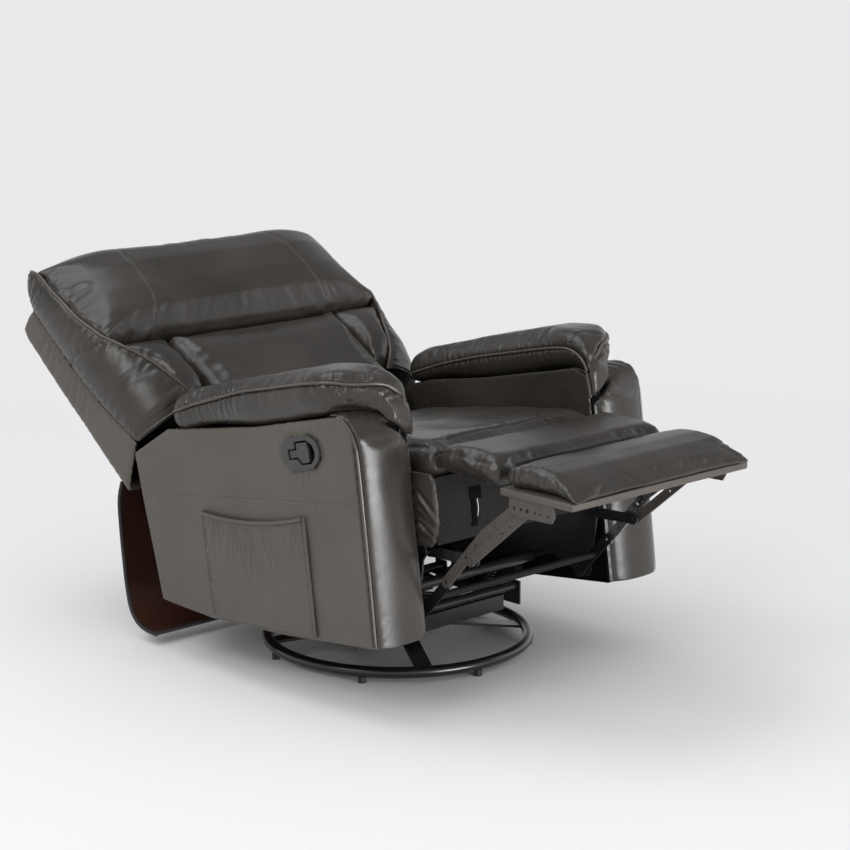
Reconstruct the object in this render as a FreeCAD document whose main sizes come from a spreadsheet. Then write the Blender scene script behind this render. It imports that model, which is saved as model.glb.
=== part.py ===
"""Swivel rocker recliner: a parametric assembly of its frame, mechanism and upholstery.

Millimetres. +Z is up, -Y is the front, -X is the sitter's right. The origin is on the
floor, on the swivel axis. The rest pose is rocked back, reclined, with the footrest out.
"""
import FreeCAD, Part
import math
import os
import re
import Sketcher

DOC = FreeCAD.newDocument("swivel_rocker_recliner")
VEC = FreeCAD.Vector
X_AXIS = VEC(1, 0, 0)
Z_AXIS = VEC(0, 0, 1)

# Driving dimensions: name, value in millimetres or degrees, meaning.
DIMENSIONS = [
    ("ring_radius", 288, "centreline of the floor ring"),
    ("ring_tube_radius", 12.5, "ring tube"),
    ("glide_height", 12, "plastic glides under the ring"),
    ("glide_radius", 9, "glides"),
    ("glide_count", 7, "glides"),
    ("spider_width", 38, "flat bars of the cross"),
    ("spider_steel", 6, "flat bars of the cross"),
    ("spider_angle", -31.5, "turn of the cross about the swivel axis"),
    ("hub_top", 46, "top of the cross at the hub"),
    ("swivel_plate_steel", 4, "both swivel plates"),
    ("lower_plate_radius", 92, "lower swivel plate"),
    ("bearing_height", 8, "ball bearing ring"),
    ("bearing_radius", 74, "outside of the bearing ring"),
    ("king_bolt_radius", 8, "bolt on the swivel axis"),
    ("upper_plate_half_width", 130, "upper swivel plate, side to side"),
    ("upper_plate_half_depth", 118, "upper swivel plate, front to back"),
    ("cross_rail_half_width", 205, "channels on the turret"),
    ("cross_rail_depth", 26, "channels"),
    ("cross_rail_height", 34, "channels"),
    ("cross_rail_offset", 100, "swivel axis to the inner face of a channel"),
    ("turret_tube_radius", 11, "tubes that join the rocker rails"),
    ("turret_tube_offset", 116, "swivel axis to a tube"),
    ("track_top", 106, "track that the cams rock on"),
    ("track_half_length", 99, "track"),
    ("track_steel", 4, "track and rail web"),
    ("track_inside", 198, "inner edge of a track and its spring seats"),
    ("track_width", 64, "track and spring seats"),
    ("web_inside", 246, "inner face of a rail web"),
    ("web_half_length", 135, "rail web"),
    ("web_ear_top", 120, "ears at the web's ends"),
    ("rock_back_angle", 8.1, "carriage rocked back at rest"),
    ("cam_radius", 260, "rocking radius"),
    ("cam_clearance", 0.4, "cam to track"),
    ("cam_depth", 36, "cam"),
    ("cam_inside", 232, "inner face of a cam"),
    ("cam_width", 25, "cam"),
    ("cam_half_angle", 24, "cam"),
    ("spring_seat_angle", 15, "spring seats on a cam, from its middle"),
    ("spring_foot", 57, "rocker springs on the track, from the middle"),
    ("spring_x", 214, "rocker springs"),
    ("coil_radius", 11, "rocker springs"),
    ("coil_wire_radius", 2, "rocker springs"),
    ("plate_inside", 258, "inner face of a mechanism side plate"),
    ("plate_steel", 4, "mechanism side plate"),
    ("tube_radius", 12, "cross tubes of the carriage"),
    ("rail_inside", 228, "inner face of a seat rail"),
    ("rail_width", 30, "seat rails"),
    ("rail_base", 290, "underside of the seat rails"),
    ("rail_height", 95, "seat rails"),
    ("seat_front", -439, "front of the seat rails"),
    ("seat_rear", 172, "rear of the seat rails"),
    ("seat_top", 490, "top of the seat cushion"),
    ("seat_cushion_rear", 104, "rear of the seat cushion"),
    ("seat_half_width", 262, "seat cushion"),
    ("board_thickness", 7, "front board"),
    ("board_base", 321, "lower edge of the front board"),
    ("lining_base", 290, "lower edge of the lining on the front board"),
    ("lining_thickness", 3, "lining on the front board"),
    ("spring_wire_radius", 1.9, "seat springs"),
    ("spring_bend_radius", 13, "seat springs"),
    ("arm_outside", 420.5, "outer face of an arm"),
    ("arm_inside", 274.5, "inner face of an arm"),
    ("arm_front", -394, "front edge of the arm box"),
    ("arm_base", 106, "lowest edge of an arm"),
    ("arm_rear_top", 486, "height of the arm's rear corner"),
    ("arm_top", 572, "top of the arm box at the front"),
    ("side_skin", 12, "upholstered side panel"),
    ("front_skin", 15, "upholstered front panel"),
    ("inner_board", 14, "board on the inner side of an arm"),
    ("frame_bar", 40, "bars of the arm frame"),
    ("frame_top_bar", 28, "top bar of the arm frame"),
    ("cleat_width", 12.5, "arm cleat to the mechanism plate"),
    ("pocket_rear", 104, "side pocket"),
    ("pocket_front", -231, "side pocket"),
    ("pocket_top", 368, "side pocket"),
    ("pocket_gap", 7, "inside the side pocket"),
    ("pocket_wall", 2, "side pocket"),
    ("bezel_y", -237, "middle of the handle bezel"),
    ("bezel_z", 498, "middle of the handle bezel"),
    ("bezel_tilt", 6, "bezel's front end raised"),
    ("handle_pin_y", 30, "handle's pivot, behind the bezel's middle"),
    ("handle_pin_radius", 2, "handle's pivot"),
    ("bezel_proud", 4, "bezel flange"),
    ("bezel_wall", 3, "bezel"),
    ("bezel_recess", 24, "finger recess"),
    ("handle_thickness", 6, "release handle"),
    ("cable_y", -196, "release cable"),
    ("cable_radius", 2.5, "release cable"),
    ("recline_pivot_y", 190, "recline pivot"),
    ("recline_pivot_z", 470, "recline pivot"),
    ("recline_lean", 43.4, "back frame from upright at rest"),
    ("back_half_width", 412, "back"),
    ("shell_rear", 184, "rear face of the back shell"),
    ("shell_top", 568, "back shell"),
    ("shell_wall", 6, "back shell"),
    ("stile_width", 36, "upright bars of the back frame"),
    ("stile_outside", 252, "outer face of a stile"),
    ("stile_depth", 36, "back frame"),
    ("frame_front", 114, "front of the back frame"),
    ("cushion_split", 324, "head pillow to lower back"),
    ("pillow_top", 652, "head pillow"),
    ("bracket_steel", 4, "back bracket"),
    ("apron_board", 5, "rear apron"),
    ("apron_half_width", 400, "rear apron"),
    ("link_steel", 4, "footrest links and brackets"),
    ("link_half_width", 11, "footrest links"),
    ("link_end_radius", 12, "footrest links"),
    ("pin_radius", 4, "link pins"),
    ("pin_clearance", 0.06, "link holes over the pins"),
    ("bracket_inside", 253, "inner face of a footrest bracket"),
    ("short_link_inside", 247, "inner face of a short link"),
    ("long_link_inside", 241, "inner face of a long link"),
    ("drive_link_inside", 235, "inner face of a drive link"),
    ("drive_pivot_y", -343.7, "drive link on the side plate"),
    ("drive_pivot_z", 135.3, "drive link on the side plate"),
    ("knee_y", -435, "drive link to long link"),
    ("knee_z", 211, "drive link to long link"),
    ("toe_y", -661, "long link to footrest"),
    ("toe_z", 374, "long link to footrest"),
    ("rear_pivot_y", -388.8, "rear link on the side plate"),
    ("rear_pivot_z", 271.4, "rear link on the side plate"),
    ("elbow_y", -517, "rear link to short link"),
    ("elbow_z", 259, "rear link to short link"),
    ("bracket_pitch", 34, "between the two main bracket holes"),
    ("ottoman_half_width", 258, "footrest board"),
    ("ottoman_front", -153.6, "front of the footrest board from its pivot"),
    ("ottoman_rear", 33.8, "rear of the footrest board from its pivot"),
    ("ottoman_board_base", 21, "underside of the footrest board"),
    ("ottoman_board", 12, "footrest board"),
    ("ottoman_pad_top", 80, "top of the footrest pad"),
]

SHEET = DOC.addObject("Spreadsheet::Sheet", "dims")
for row, (alias, value, meaning) in enumerate(DIMENSIONS, start=1):
    SHEET.set("A%d" % row, meaning)
    SHEET.set("B%d" % row, str(value))
    SHEET.setAlias("B%d" % row, alias)
DOC.recompute()

ALIASES = [alias for alias, value, meaning in DIMENSIONS]
ALIAS_WORD = re.compile(r"\b(" + "|".join(sorted(ALIASES, key=len, reverse=True)) + r")\b")
SUBPARTS = []


def dim(alias):
    """Value of one driving dimension."""
    return float(SHEET.get(alias))


def formula(text):
    """Turn a formula in plain dimension names into one that refers to the sheet."""
    return ALIAS_WORD.sub(r"dims.\1", str(text))


def turn_x(degrees, base=VEC(0, 0, 0)):
    """Placement at base, turned about X."""
    return FreeCAD.Placement(base, FreeCAD.Rotation(X_AXIS, degrees))


# Frames of the moving assemblies in the rest pose.
WORLD = FreeCAD.Placement()
CARRIAGE = turn_x(-dim("rock_back_angle"))
BACK = CARRIAGE.multiply(
    turn_x(-dim("recline_lean"), VEC(0, dim("recline_pivot_y"), dim("recline_pivot_z"))))
TOE = VEC(0, dim("toe_y"), dim("toe_z"))
OTTOMAN = CARRIAGE.multiply(turn_x(dim("rock_back_angle"), TOE))
BEZEL_IN_ARM = turn_x(-dim("bezel_tilt"), VEC(0, dim("bezel_y"), dim("bezel_z")))
BEZEL = CARRIAGE.multiply(BEZEL_IN_ARM)


def keep(obj, label, frame=WORLD):
    """Name an object as a sub-part and put it in its assembly's frame."""
    obj.Label = label
    obj.Placement = frame.multiply(obj.Placement)
    SUBPARTS.append(obj)
    return obj


# ---------------------------------------------------------------- sketched solids

def new_body(name):
    """An empty body."""
    return DOC.addObject("PartDesign::Body", name)


def sketch_on(body, role, offset="0"):
    """A sketch on one of the body's origin planes, offset along its normal."""
    plane = [f for f in body.Origin.OriginFeatures if f.Role == role][0]
    sketch = body.newObject("Sketcher::SketchObject", body.Name + "_sketch")
    sketch.AttachmentSupport = [(plane, "")]
    sketch.MapMode = "FlatFace"
    sketch.setExpression("AttachmentOffset.Base.z", formula(offset))
    return sketch


def pin_point(sketch, index, position, u, v):
    """Fix one point of the sketch by two formulas."""
    for kind, text in (("DistanceX", u), ("DistanceY", v)):
        constraint = Sketcher.Constraint(kind, -1, 1, index, position, value_of(text))
        number = sketch.addConstraint(constraint)
        sketch.setExpression("Constraints[%d]" % number, formula(text))


def value_of(text):
    """Value of a formula in plain dimension names."""
    names = {alias: dim(alias) for alias in set(ALIAS_WORD.findall(str(text)))}
    total = ALIAS_WORD.sub(lambda m: "(%r)" % names[m.group(1)], str(text))
    return float(FreeCAD.Units.Quantity(total).Value)


def outline(sketch, points):
    """A closed outline of straight edges through points given as formulas."""
    start = sketch.GeometryCount
    places = [VEC(value_of(u), value_of(v), 0) for u, v in points]
    for a, b in zip(places, places[1:] + places[:1]):
        sketch.addGeometry(Part.LineSegment(a, b), False)
    for i in range(len(points)):
        following = start + (i + 1) % len(points)
        sketch.addConstraint(Sketcher.Constraint("Coincident", start + i, 2, following, 1))
    for i, (u, v) in enumerate(points):
        pin_point(sketch, start + i, 1, u, v)


def circle(sketch, u, v, radius):
    """A circle given by formulas."""
    place = VEC(value_of(u), value_of(v), 0)
    index = sketch.addGeometry(Part.Circle(place, Z_AXIS, value_of(radius)), False)
    number = sketch.addConstraint(Sketcher.Constraint("Radius", index, value_of(radius)))
    sketch.setExpression("Constraints[%d]" % number, formula(radius))
    pin_point(sketch, index, 3, u, v)


def pad(body, sketch, length, both_sides=False):
    """Extrude a sketch along its normal."""
    feature = body.newObject("PartDesign::Pad", body.Name + "_pad")
    feature.Profile = sketch
    feature.setExpression("Length", formula(length))
    feature.Midplane = both_sides
    return feature


def pocket(body, sketch, length, both_sides=False, reverse=False):
    """Cut a sketch against its normal, and stop if it removes nothing."""
    DOC.recompute()
    before = body.Shape.Volume
    feature = body.newObject("PartDesign::Pocket", body.Name + "_pocket")
    feature.Profile = sketch
    feature.setExpression("Length", formula(length))
    feature.Midplane = both_sides
    feature.Reversed = reverse
    DOC.recompute()
    if body.Shape.Volume > before - 1:
        raise RuntimeError(body.Name + ": a pocket cuts nothing")
    return feature


def soften(body, radius, test):
    """Round the edges of the body's last feature for which the test is true."""
    DOC.recompute()
    tip = body.Tip
    names = ["Edge%d" % (i + 1) for i, e in enumerate(tip.Shape.Edges) if test(e)]
    feature = body.newObject("PartDesign::Fillet", body.Name + "_fillet")
    feature.Base = (tip, names)
    feature.setExpression("Radius", formula(radius))
    return feature


def along_x(edge):
    """True for a straight edge that runs along X."""
    if not isinstance(edge.Curve, Part.Line):
        return False
    return abs(edge.tangentAt(edge.FirstParameter).x) > 0.999


def side_profile(label, points, start, width, frame=WORLD, rounding=None):
    """A piece cut to a side profile of (y, z) points, from X = start over its width."""
    body = new_body(label)
    sketch = sketch_on(body, "YZ_Plane", start)
    outline(sketch, points)
    pad(body, sketch, width)
    if rounding:
        soften(body, rounding, along_x)
    return keep(body, label, frame)


def round_bar(label, y, z, radius, half_length, frame=WORLD):
    """A round bar along X, centred on the middle plane."""
    body = new_body(label)
    sketch = sketch_on(body, "YZ_Plane")
    circle(sketch, y, z, radius)
    pad(body, sketch, "2 * (%s)" % half_length, both_sides=True)
    return keep(body, label, frame)


# ---------------------------------------------------------------- shapes by Part's functions

def shape_part(label, shape, frame=WORLD):
    """A sub-part whose shape comes from Part's own functions."""
    feature = DOC.addObject("Part::Feature", label)
    feature.Shape = shape
    return keep(feature, label, frame)


def cushion_section(y, centre, half_width, low, high):
    """A closed rounded rectangle across Y: four straight sides and four arcs."""
    corner = 0.42 * min(high - low, 2 * half_width)
    right = centre + half_width - corner
    left = centre - half_width + corner
    top = high - corner
    base = low + corner
    arcs = []
    for x, z, first in ((right, top, 0), (left, top, 90), (left, base, 180), (right, base, 270)):
        angles = [math.radians(first + turn) for turn in (0, 45, 90)]
        arcs.append([VEC(x + corner * math.cos(a), y, z + corner * math.sin(a)) for a in angles])
    edges = []
    for arc, following in zip(arcs, arcs[1:] + arcs[:1]):
        edges.append(Part.Arc(*arc).toShape())
        edges.append(Part.makeLine(arc[2], following[0]))
    return Part.Wire(edges)


def soft_loft(stations):
    """A crowned closed form along Y from (y, centre, half width, low, high) stations."""
    return Part.makeLoft([cushion_section(*row) for row in stations], True, False)


def flat_bar(points, start, thickness, half_width, end_radius, holes):
    """A flat link in the YZ plane through points, with rounded ends and holes."""
    pieces = []
    for y, z in (points[0], points[-1]):
        pieces.append(Part.makeCylinder(end_radius, thickness, VEC(start, y, z), X_AXIS))
    for y, z in points[1:-1]:
        pieces.append(Part.makeCylinder(half_width, thickness, VEC(start, y, z), X_AXIS))
    for (y0, z0), (y1, z1) in zip(points, points[1:]):
        run = math.hypot(y1 - y0, z1 - z0)
        side = VEC(0, -(z1 - z0) / run * half_width, (y1 - y0) / run * half_width)
        a = VEC(start, y0, z0)
        b = VEC(start, y1, z1)
        corners = [a + side, b + side, b - side, a - side, a + side]
        pieces.append(Part.Face(Part.makePolygon(corners)).extrude(VEC(thickness, 0, 0)))
    solid = pieces[0].multiFuse(pieces[1:]).removeSplitter()
    for y, z, radius in holes:
        solid = solid.cut(Part.makeCylinder(radius, thickness, VEC(start, y, z), X_AXIS))
    return solid


def both_sides(shape):
    """A shape with its mirror image across the middle plane, as two solids."""
    return Part.makeCompound([shape, shape.mirror(VEC(0, 0, 0), X_AXIS)])


SIDES = (("right", -1), ("left", 1))


def side_start(sign, inside, width):
    """Formula for the lower X of a piece on one side, from its inner face and width."""
    if sign < 0:
        return "-(%s) - (%s)" % (inside, width)
    return "%s" % inside


# ---------------------------------------------------------------- base

def make_base():
    """Floor ring, cross, glides, lower swivel plate and king bolt."""
    ring = DOC.addObject("Part::Torus", "base_ring")
    ring.setExpression("Radius1", formula("ring_radius"))
    ring.setExpression("Radius2", formula("ring_tube_radius"))
    ring.Placement.Base.z = dim("glide_height") + dim("ring_tube_radius")
    keep(ring, "base_ring")

    spider = new_body("base_spider")
    sketch = sketch_on(spider, "XZ_Plane")
    reach = "ring_radius - ring_tube_radius + 1.5"
    low = "glide_height + ring_tube_radius - spider_steel / 2"
    outline(sketch, [
        ("-(%s)" % reach, low), ("-(%s)" % reach, low + " + spider_steel"),
        ("-116", "hub_top"), ("116", "hub_top"),
        (reach, low + " + spider_steel"), (reach, low),
        ("114", "hub_top - spider_steel"), ("-114", "hub_top - spider_steel")])
    bar = pad(spider, sketch, "spider_width", both_sides=True)
    DOC.recompute()
    pattern = spider.newObject("PartDesign::PolarPattern", "spider_pattern")
    pattern.Originals = [bar]
    axis = [f for f in spider.Origin.OriginFeatures if f.Role == "Z_Axis"][0]
    pattern.Axis = (axis, [""])
    pattern.Angle = 180
    pattern.Occurrences = 2
    pattern.Angle = 90
    spider.Tip = pattern
    spider.Placement = FreeCAD.Placement(
        VEC(0, 0, 0), FreeCAD.Rotation(Z_AXIS, dim("spider_angle")))
    keep(spider, "base_spider")

    glides = []
    count = int(dim("glide_count"))
    for i in range(count):
        angle = math.radians(160 + 360 * i / count)
        place = VEC(dim("ring_radius") * math.cos(angle), dim("ring_radius") * math.sin(angle), 0)
        foot = Part.makeCylinder(dim("glide_radius"), dim("glide_height") + 2, place)
        foot = foot.makeFillet(1.5, [e for e in foot.Edges if e.BoundBox.ZMax < 0.1])
        glides.append(foot.cut(ring.Shape))
    shape_part("base_glides", Part.makeCompound(glides))

    plate = DOC.addObject("Part::Cylinder", "lower_plate_disc")
    plate.setExpression("Radius", formula("lower_plate_radius"))
    plate.setExpression("Height", formula("swivel_plate_steel"))
    hole = DOC.addObject("Part::Cylinder", "lower_plate_hole")
    hole.setExpression("Radius", formula("king_bolt_radius + 0.05"))
    hole.setExpression("Height", formula("swivel_plate_steel"))
    cut = DOC.addObject("Part::Cut", "lower_plate_cut")
    cut.Base = plate
    cut.Tool = hole
    cut.Placement.Base.z = dim("hub_top")
    keep(cut, "swivel_lower_plate")

    bolt = new_body("king_bolt")
    sketch = sketch_on(bolt, "XZ_Plane")
    top = "hub_top + 2 * swivel_plate_steel + bearing_height"
    outline(sketch, [
        ("0", "hub_top"), ("king_bolt_radius", "hub_top"), ("king_bolt_radius", top + " + 0.5"),
        ("king_bolt_radius * 1.7", top + " + 0.5"), ("king_bolt_radius * 1.7", top + " + 8"),
        ("0", top + " + 8")])
    turned = bolt.newObject("PartDesign::Revolution", "king_bolt_turned")
    turned.Profile = sketch
    turned.ReferenceAxis = (sketch, ["V_Axis"])
    turned.Angle = 360
    keep(bolt, "king_bolt")


# ---------------------------------------------------------------- turret

def make_turret():
    """Everything that swivels but doesn't rock."""
    bearing_base = "hub_top + swivel_plate_steel"
    bearing = new_body("swivel_bearing")
    sketch = sketch_on(bearing, "XY_Plane", bearing_base + " + 0.1")
    circle(sketch, "0", "0", "bearing_radius")
    circle(sketch, "0", "0", "bearing_radius - 22")
    pad(bearing, sketch, "bearing_height - 0.1")
    keep(bearing, "swivel_bearing")

    plate = new_body("swivel_upper_plate")
    sketch = sketch_on(plate, "XY_Plane", bearing_base + " + bearing_height")
    bevel = 34
    corners = []
    for sx, sy in ((1, 1), (-1, 1), (-1, -1), (1, -1)):
        wide = ("%d * upper_plate_half_width" % sx, "%d * (upper_plate_half_depth - %d)" % (sy, bevel))
        deep = ("%d * (upper_plate_half_width - %d)" % (sx, bevel), "%d * upper_plate_half_depth" % sy)
        corners += [wide, deep] if sx == sy else [deep, wide]
    outline(sketch, corners)
    circle(sketch, "0", "0", "king_bolt_radius + 0.06")
    pad(plate, sketch, "swivel_plate_steel")
    keep(plate, "swivel_upper_plate")

    rail_base = bearing_base + " + bearing_height + swivel_plate_steel"
    for name, sign in (("front", -1), ("rear", 1)):
        rail = new_body("turret_rail_" + name)
        sketch = sketch_on(rail, "XY_Plane", rail_base)
        inner = "%d * cross_rail_offset" % sign
        outer = "%d * (cross_rail_offset + cross_rail_depth)" % sign
        outline(sketch, [
            ("-cross_rail_half_width", inner), ("cross_rail_half_width", inner),
            ("cross_rail_half_width", outer), ("-cross_rail_half_width", outer)])
        pad(rail, sketch, "cross_rail_height")
        sketch = sketch_on(rail, "YZ_Plane")
        wall = "3"
        outline(sketch, [
            ("%s + %d * %s" % (inner, sign, wall), rail_base),
            ("%s - %d * %s" % (outer, sign, wall), rail_base),
            ("%s - %d * %s" % (outer, sign, wall), rail_base + " + cross_rail_height - " + wall),
            ("%s + %d * %s" % (inner, sign, wall), rail_base + " + cross_rail_height - " + wall)])
        pocket(rail, sketch, "2 * cross_rail_half_width + 10", both_sides=True)
        keep(rail, "turret_rail_" + name)

    tubes = []
    height = dim("hub_top") + 2 * dim("swivel_plate_steel") + dim("bearing_height")
    height += dim("cross_rail_height") + dim("turret_tube_radius")
    half = dim("web_inside")
    for sign in (-1, 1):
        start = VEC(-half, sign * dim("turret_tube_offset"), height)
        tube = Part.makeCylinder(dim("turret_tube_radius"), 2 * half, start, X_AXIS)
        bore = Part.makeCylinder(dim("turret_tube_radius") - 2, 2 * half, start, X_AXIS)
        tubes.append(tube.cut(bore))
    shape_part("turret_tubes", Part.makeCompound(tubes))

    for side, sign in SIDES:
        rail = new_body("rocker_rail_" + side)
        sketch = sketch_on(rail, "YZ_Plane", side_start(sign, "web_inside", "track_steel"))
        outline(sketch, [
            ("-web_half_length", "66"), ("web_half_length", "66"),
            ("web_half_length", "web_ear_top"), ("track_half_length + 1", "web_ear_top"),
            ("track_half_length + 1", "track_top"), ("-track_half_length - 1", "track_top"),
            ("-track_half_length - 1", "web_ear_top"), ("-web_half_length", "web_ear_top")])
        pad(rail, sketch, "track_steel")
        sketch = sketch_on(rail, "YZ_Plane", side_start(sign, "track_inside", "track_width"))
        outline(sketch, [
            ("-track_half_length", "track_top - track_steel"),
            ("track_half_length", "track_top - track_steel"),
            ("track_half_length", "track_top"), ("-track_half_length", "track_top")])
        pad(rail, sketch, "track_width")
        keep(rail, "rocker_rail_" + side)


# ---------------------------------------------------------------- carriage mechanism

def cam_centre():
    """Centre of the rocking radius, in the world frame."""
    return VEC(0, 0, dim("track_top") + dim("cam_radius"))


def make_rocker():
    """Cams, springs, side plates and cross tubes."""
    centre = cam_centre()
    outer = dim("cam_radius") - dim("cam_clearance")
    inner = outer - dim("cam_depth")
    half = dim("cam_half_angle")
    for side, sign in SIDES:
        start = dim("cam_inside") if sign > 0 else -dim("cam_inside") - dim("cam_width")
        edges = []
        middle = -90 - dim("rock_back_angle")
        for radius in (outer, inner):
            angles = [math.radians(middle + a) for a in (-half, 0, half)]
            spots = [VEC(start, centre.y + radius * math.cos(a), centre.z + radius * math.sin(a))
                     for a in angles]
            edges.append((Part.Arc(*spots).toShape(), spots))
        closing = [Part.makeLine(edges[0][1][k], edges[1][1][k]) for k in (0, 2)]
        wire = Part.Wire(Part.__sortEdges__([edges[0][0], edges[1][0]] + closing))
        cam = Part.Face(wire).extrude(VEC(dim("cam_width"), 0, 0))
        for seat in (-dim("spring_seat_angle"), dim("spring_seat_angle")):
            tab = Part.makeBox(dim("cam_inside") - dim("track_inside") + 4, 32, 4)
            tab.translate(VEC(dim("track_inside"), -16, -inner - 4))
            tab.rotate(VEC(0, 0, 0), X_AXIS, seat - dim("rock_back_angle"))
            tab.translate(centre)
            cam = cam.fuse(tab if sign > 0 else tab.mirror(VEC(0, 0, 0), X_AXIS))
        shape_part("rocker_cam_" + side, cam)

    coils = []
    wire_radius = dim("coil_wire_radius")
    coil_radius = dim("coil_radius")
    for end in (-1, 1):
        seat = math.radians(end * dim("spring_seat_angle") - dim("rock_back_angle"))
        reach = inner + 4.3
        foot = VEC(0, end * dim("spring_foot"), dim("track_top") + wire_radius + 0.5)
        head_y = centre.y + reach * math.sin(seat)
        head_z = centre.z - reach * math.cos(seat)
        head_z -= (coil_radius + wire_radius) * abs(math.sin(seat)) + wire_radius
        height = head_z - foot.z
        coil = Part.makeHelix(height / 5, height, coil_radius)
        ring = Part.Wire([Part.makeCircle(wire_radius, VEC(coil_radius, 0, 0), VEC(0, 1, 0))])
        spring = Part.Wire(coil.Edges).makePipeShell([ring], True, True)
        lean = FreeCAD.Matrix()
        lean.A23 = (head_y - foot.y) / height
        spring = spring.transformGeometry(lean)
        spring.translate(foot)
        for sign in (-1, 1):
            copy = spring.copy()
            copy.translate(VEC(sign * dim("spring_x"), 0, 0))
            coils.append(copy)
    shape_part("rocker_springs", Part.makeCompound(coils))

    lug = 14
    drive = (dim("drive_pivot_y"), dim("drive_pivot_z"))
    rear = (dim("rear_pivot_y"), dim("rear_pivot_z"))
    pivot = (dim("recline_pivot_y"), dim("recline_pivot_z"))
    for side, sign in SIDES:
        thickness = dim("plate_steel")
        start = dim("plate_inside") if sign > 0 else -dim("plate_inside") - thickness
        edge = [
            (rear[0] - lug, dim("rail_base") + 45), (rear[0] - lug, rear[1] - 4),
            (rear[0] - 4, rear[1] - lug), (drive[0] - lug - 4, drive[1] + 10),
            (drive[0] - lug, drive[1] - 6), (drive[0] - 4, drive[1] - lug),
            (drive[0] + 16, drive[1] - lug + 2), (-250, 168), (-152, 150), (-100, 136),
            (-51, 130), (0, 136), (50, 152), (110, 190), (190, 276), (pivot[0] + 18, 380),
            (pivot[0] + 18, pivot[1]), (pivot[0] + 9, pivot[1] + 16),
            (pivot[0] - 9, pivot[1] + 16), (pivot[0] - 18, pivot[1]), (pivot[0] - 30, 400),
            (pivot[0] - 70, dim("rail_base") + 45)]
        places = [VEC(start, y, z) for y, z in edge]
        face = Part.Face(Part.makePolygon(places + places[:1]))
        plate = face.extrude(VEC(thickness, 0, 0))
        shape_part("side_plate_" + side, plate, CARRIAGE)

    round_bar("front_cross_tube", "-180", "158", "tube_radius", "plate_inside", CARRIAGE)
    round_bar("rear_cross_tube", "118", "225", "tube_radius", "plate_inside", CARRIAGE)


# ---------------------------------------------------------------- seat

def make_seat():
    """Wooden rails, springs, cushion and the board under the seat's front edge."""
    for side, sign in SIDES:
        side_profile("seat_rail_" + side, [
            ("seat_front", "rail_base"), ("seat_rear", "rail_base"),
            ("seat_rear", "rail_base + rail_height"), ("seat_front", "rail_base + rail_height")],
            side_start(sign, "rail_inside", "rail_width"), "rail_width", CARRIAGE)
    for name, near, far in (("front", "seat_front", "seat_front + 28"),
                            ("rear", "seat_rear - 28", "seat_rear")):
        side_profile("seat_rail_" + name, [
            (near, "rail_base"), (far, "rail_base"),
            (far, "rail_base + rail_height"), (near, "rail_base + rail_height")],
            "-rail_inside", "2 * rail_inside", CARRIAGE)

    # Below the board only its lining hangs down, clear of the folded links.
    side_profile("seat_front_board", [
        ("seat_front - lining_thickness", "lining_base"), ("seat_front", "lining_base"),
        ("seat_front", "425"), ("seat_front - board_thickness", "425"),
        ("seat_front - board_thickness", "board_base"),
        ("seat_front - lining_thickness", "board_base")],
        "-seat_half_width", "2 * seat_half_width", CARRIAGE)

    springs = []
    front = dim("seat_front") + 30
    rear = dim("seat_rear") - 30
    bend = dim("spring_bend_radius")
    count = int((rear - front) / (2 * bend))
    gap = (rear - front) / count / 2
    height = dim("rail_base") + dim("rail_height") - 5
    for x in (-165, -55, 55, 165):
        edges = []
        for i in range(count):
            y = front + 2 * gap * i
            side = 1 if i % 2 == 0 else -1
            reach = 9 * side
            edges.append(Part.makeLine(VEC(x, y, height), VEC(x + reach, y, height)))
            arc = Part.Arc(VEC(x + reach, y, height), VEC(x + reach + side * gap, y + gap, height),
                           VEC(x + reach, y + 2 * gap, height))
            edges.append(arc.toShape())
            edges.append(Part.makeLine(VEC(x + reach, y + 2 * gap, height),
                                       VEC(x, y + 2 * gap, height)))
        path = Part.Wire(edges)
        ring = Part.Wire([Part.makeCircle(dim("spring_wire_radius"), VEC(x, front, height), X_AXIS)])
        springs.append(path.makePipeShell([ring], True, False))
    shape_part("seat_springs", Part.makeCompound(springs), CARRIAGE)

    base = dim("rail_base") + dim("rail_height") + 6
    top = dim("seat_top")
    half = dim("seat_half_width")
    front = dim("seat_front")
    rear = dim("seat_cushion_rear")
    shape_part("seat_cushion", soft_loft([
        (front + 1, 0, half - 14, base + 42, top - 10),
        (front + 20, 0, half - 3, base + 14, top - 3),
        (front + 60, 0, half, base, top),
        (front + 140, 0, half, base, top + 2),
        (front + 220, 0, half, base, top + 4),
        (front + 300, 0, half, base, top + 4),
        (front + 380, 0, half, base, top + 2),
        (rear - 90, 0, half, base, top),
        (rear - 40, 0, half, base, top - 3),
        (rear - 12, 0, half - 4, base + 5, top - 9),
        (rear, 0, half - 16, base + 20, top - 24)]), CARRIAGE)


# ---------------------------------------------------------------- arms

ARM_SIDE = [
    ("arm_front", "arm_base"), ("-144", "arm_base + 7"), ("117", "arm_base + 27"),
    ("282", "arm_base + 56"), ("327", "arm_rear_top"), ("202", "arm_rear_top + 52"),
    ("-87", "arm_rear_top + 62"), ("-357", "arm_top"), ("-380", "arm_top - 11"),
    ("arm_front", "arm_top - 26")]


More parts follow.
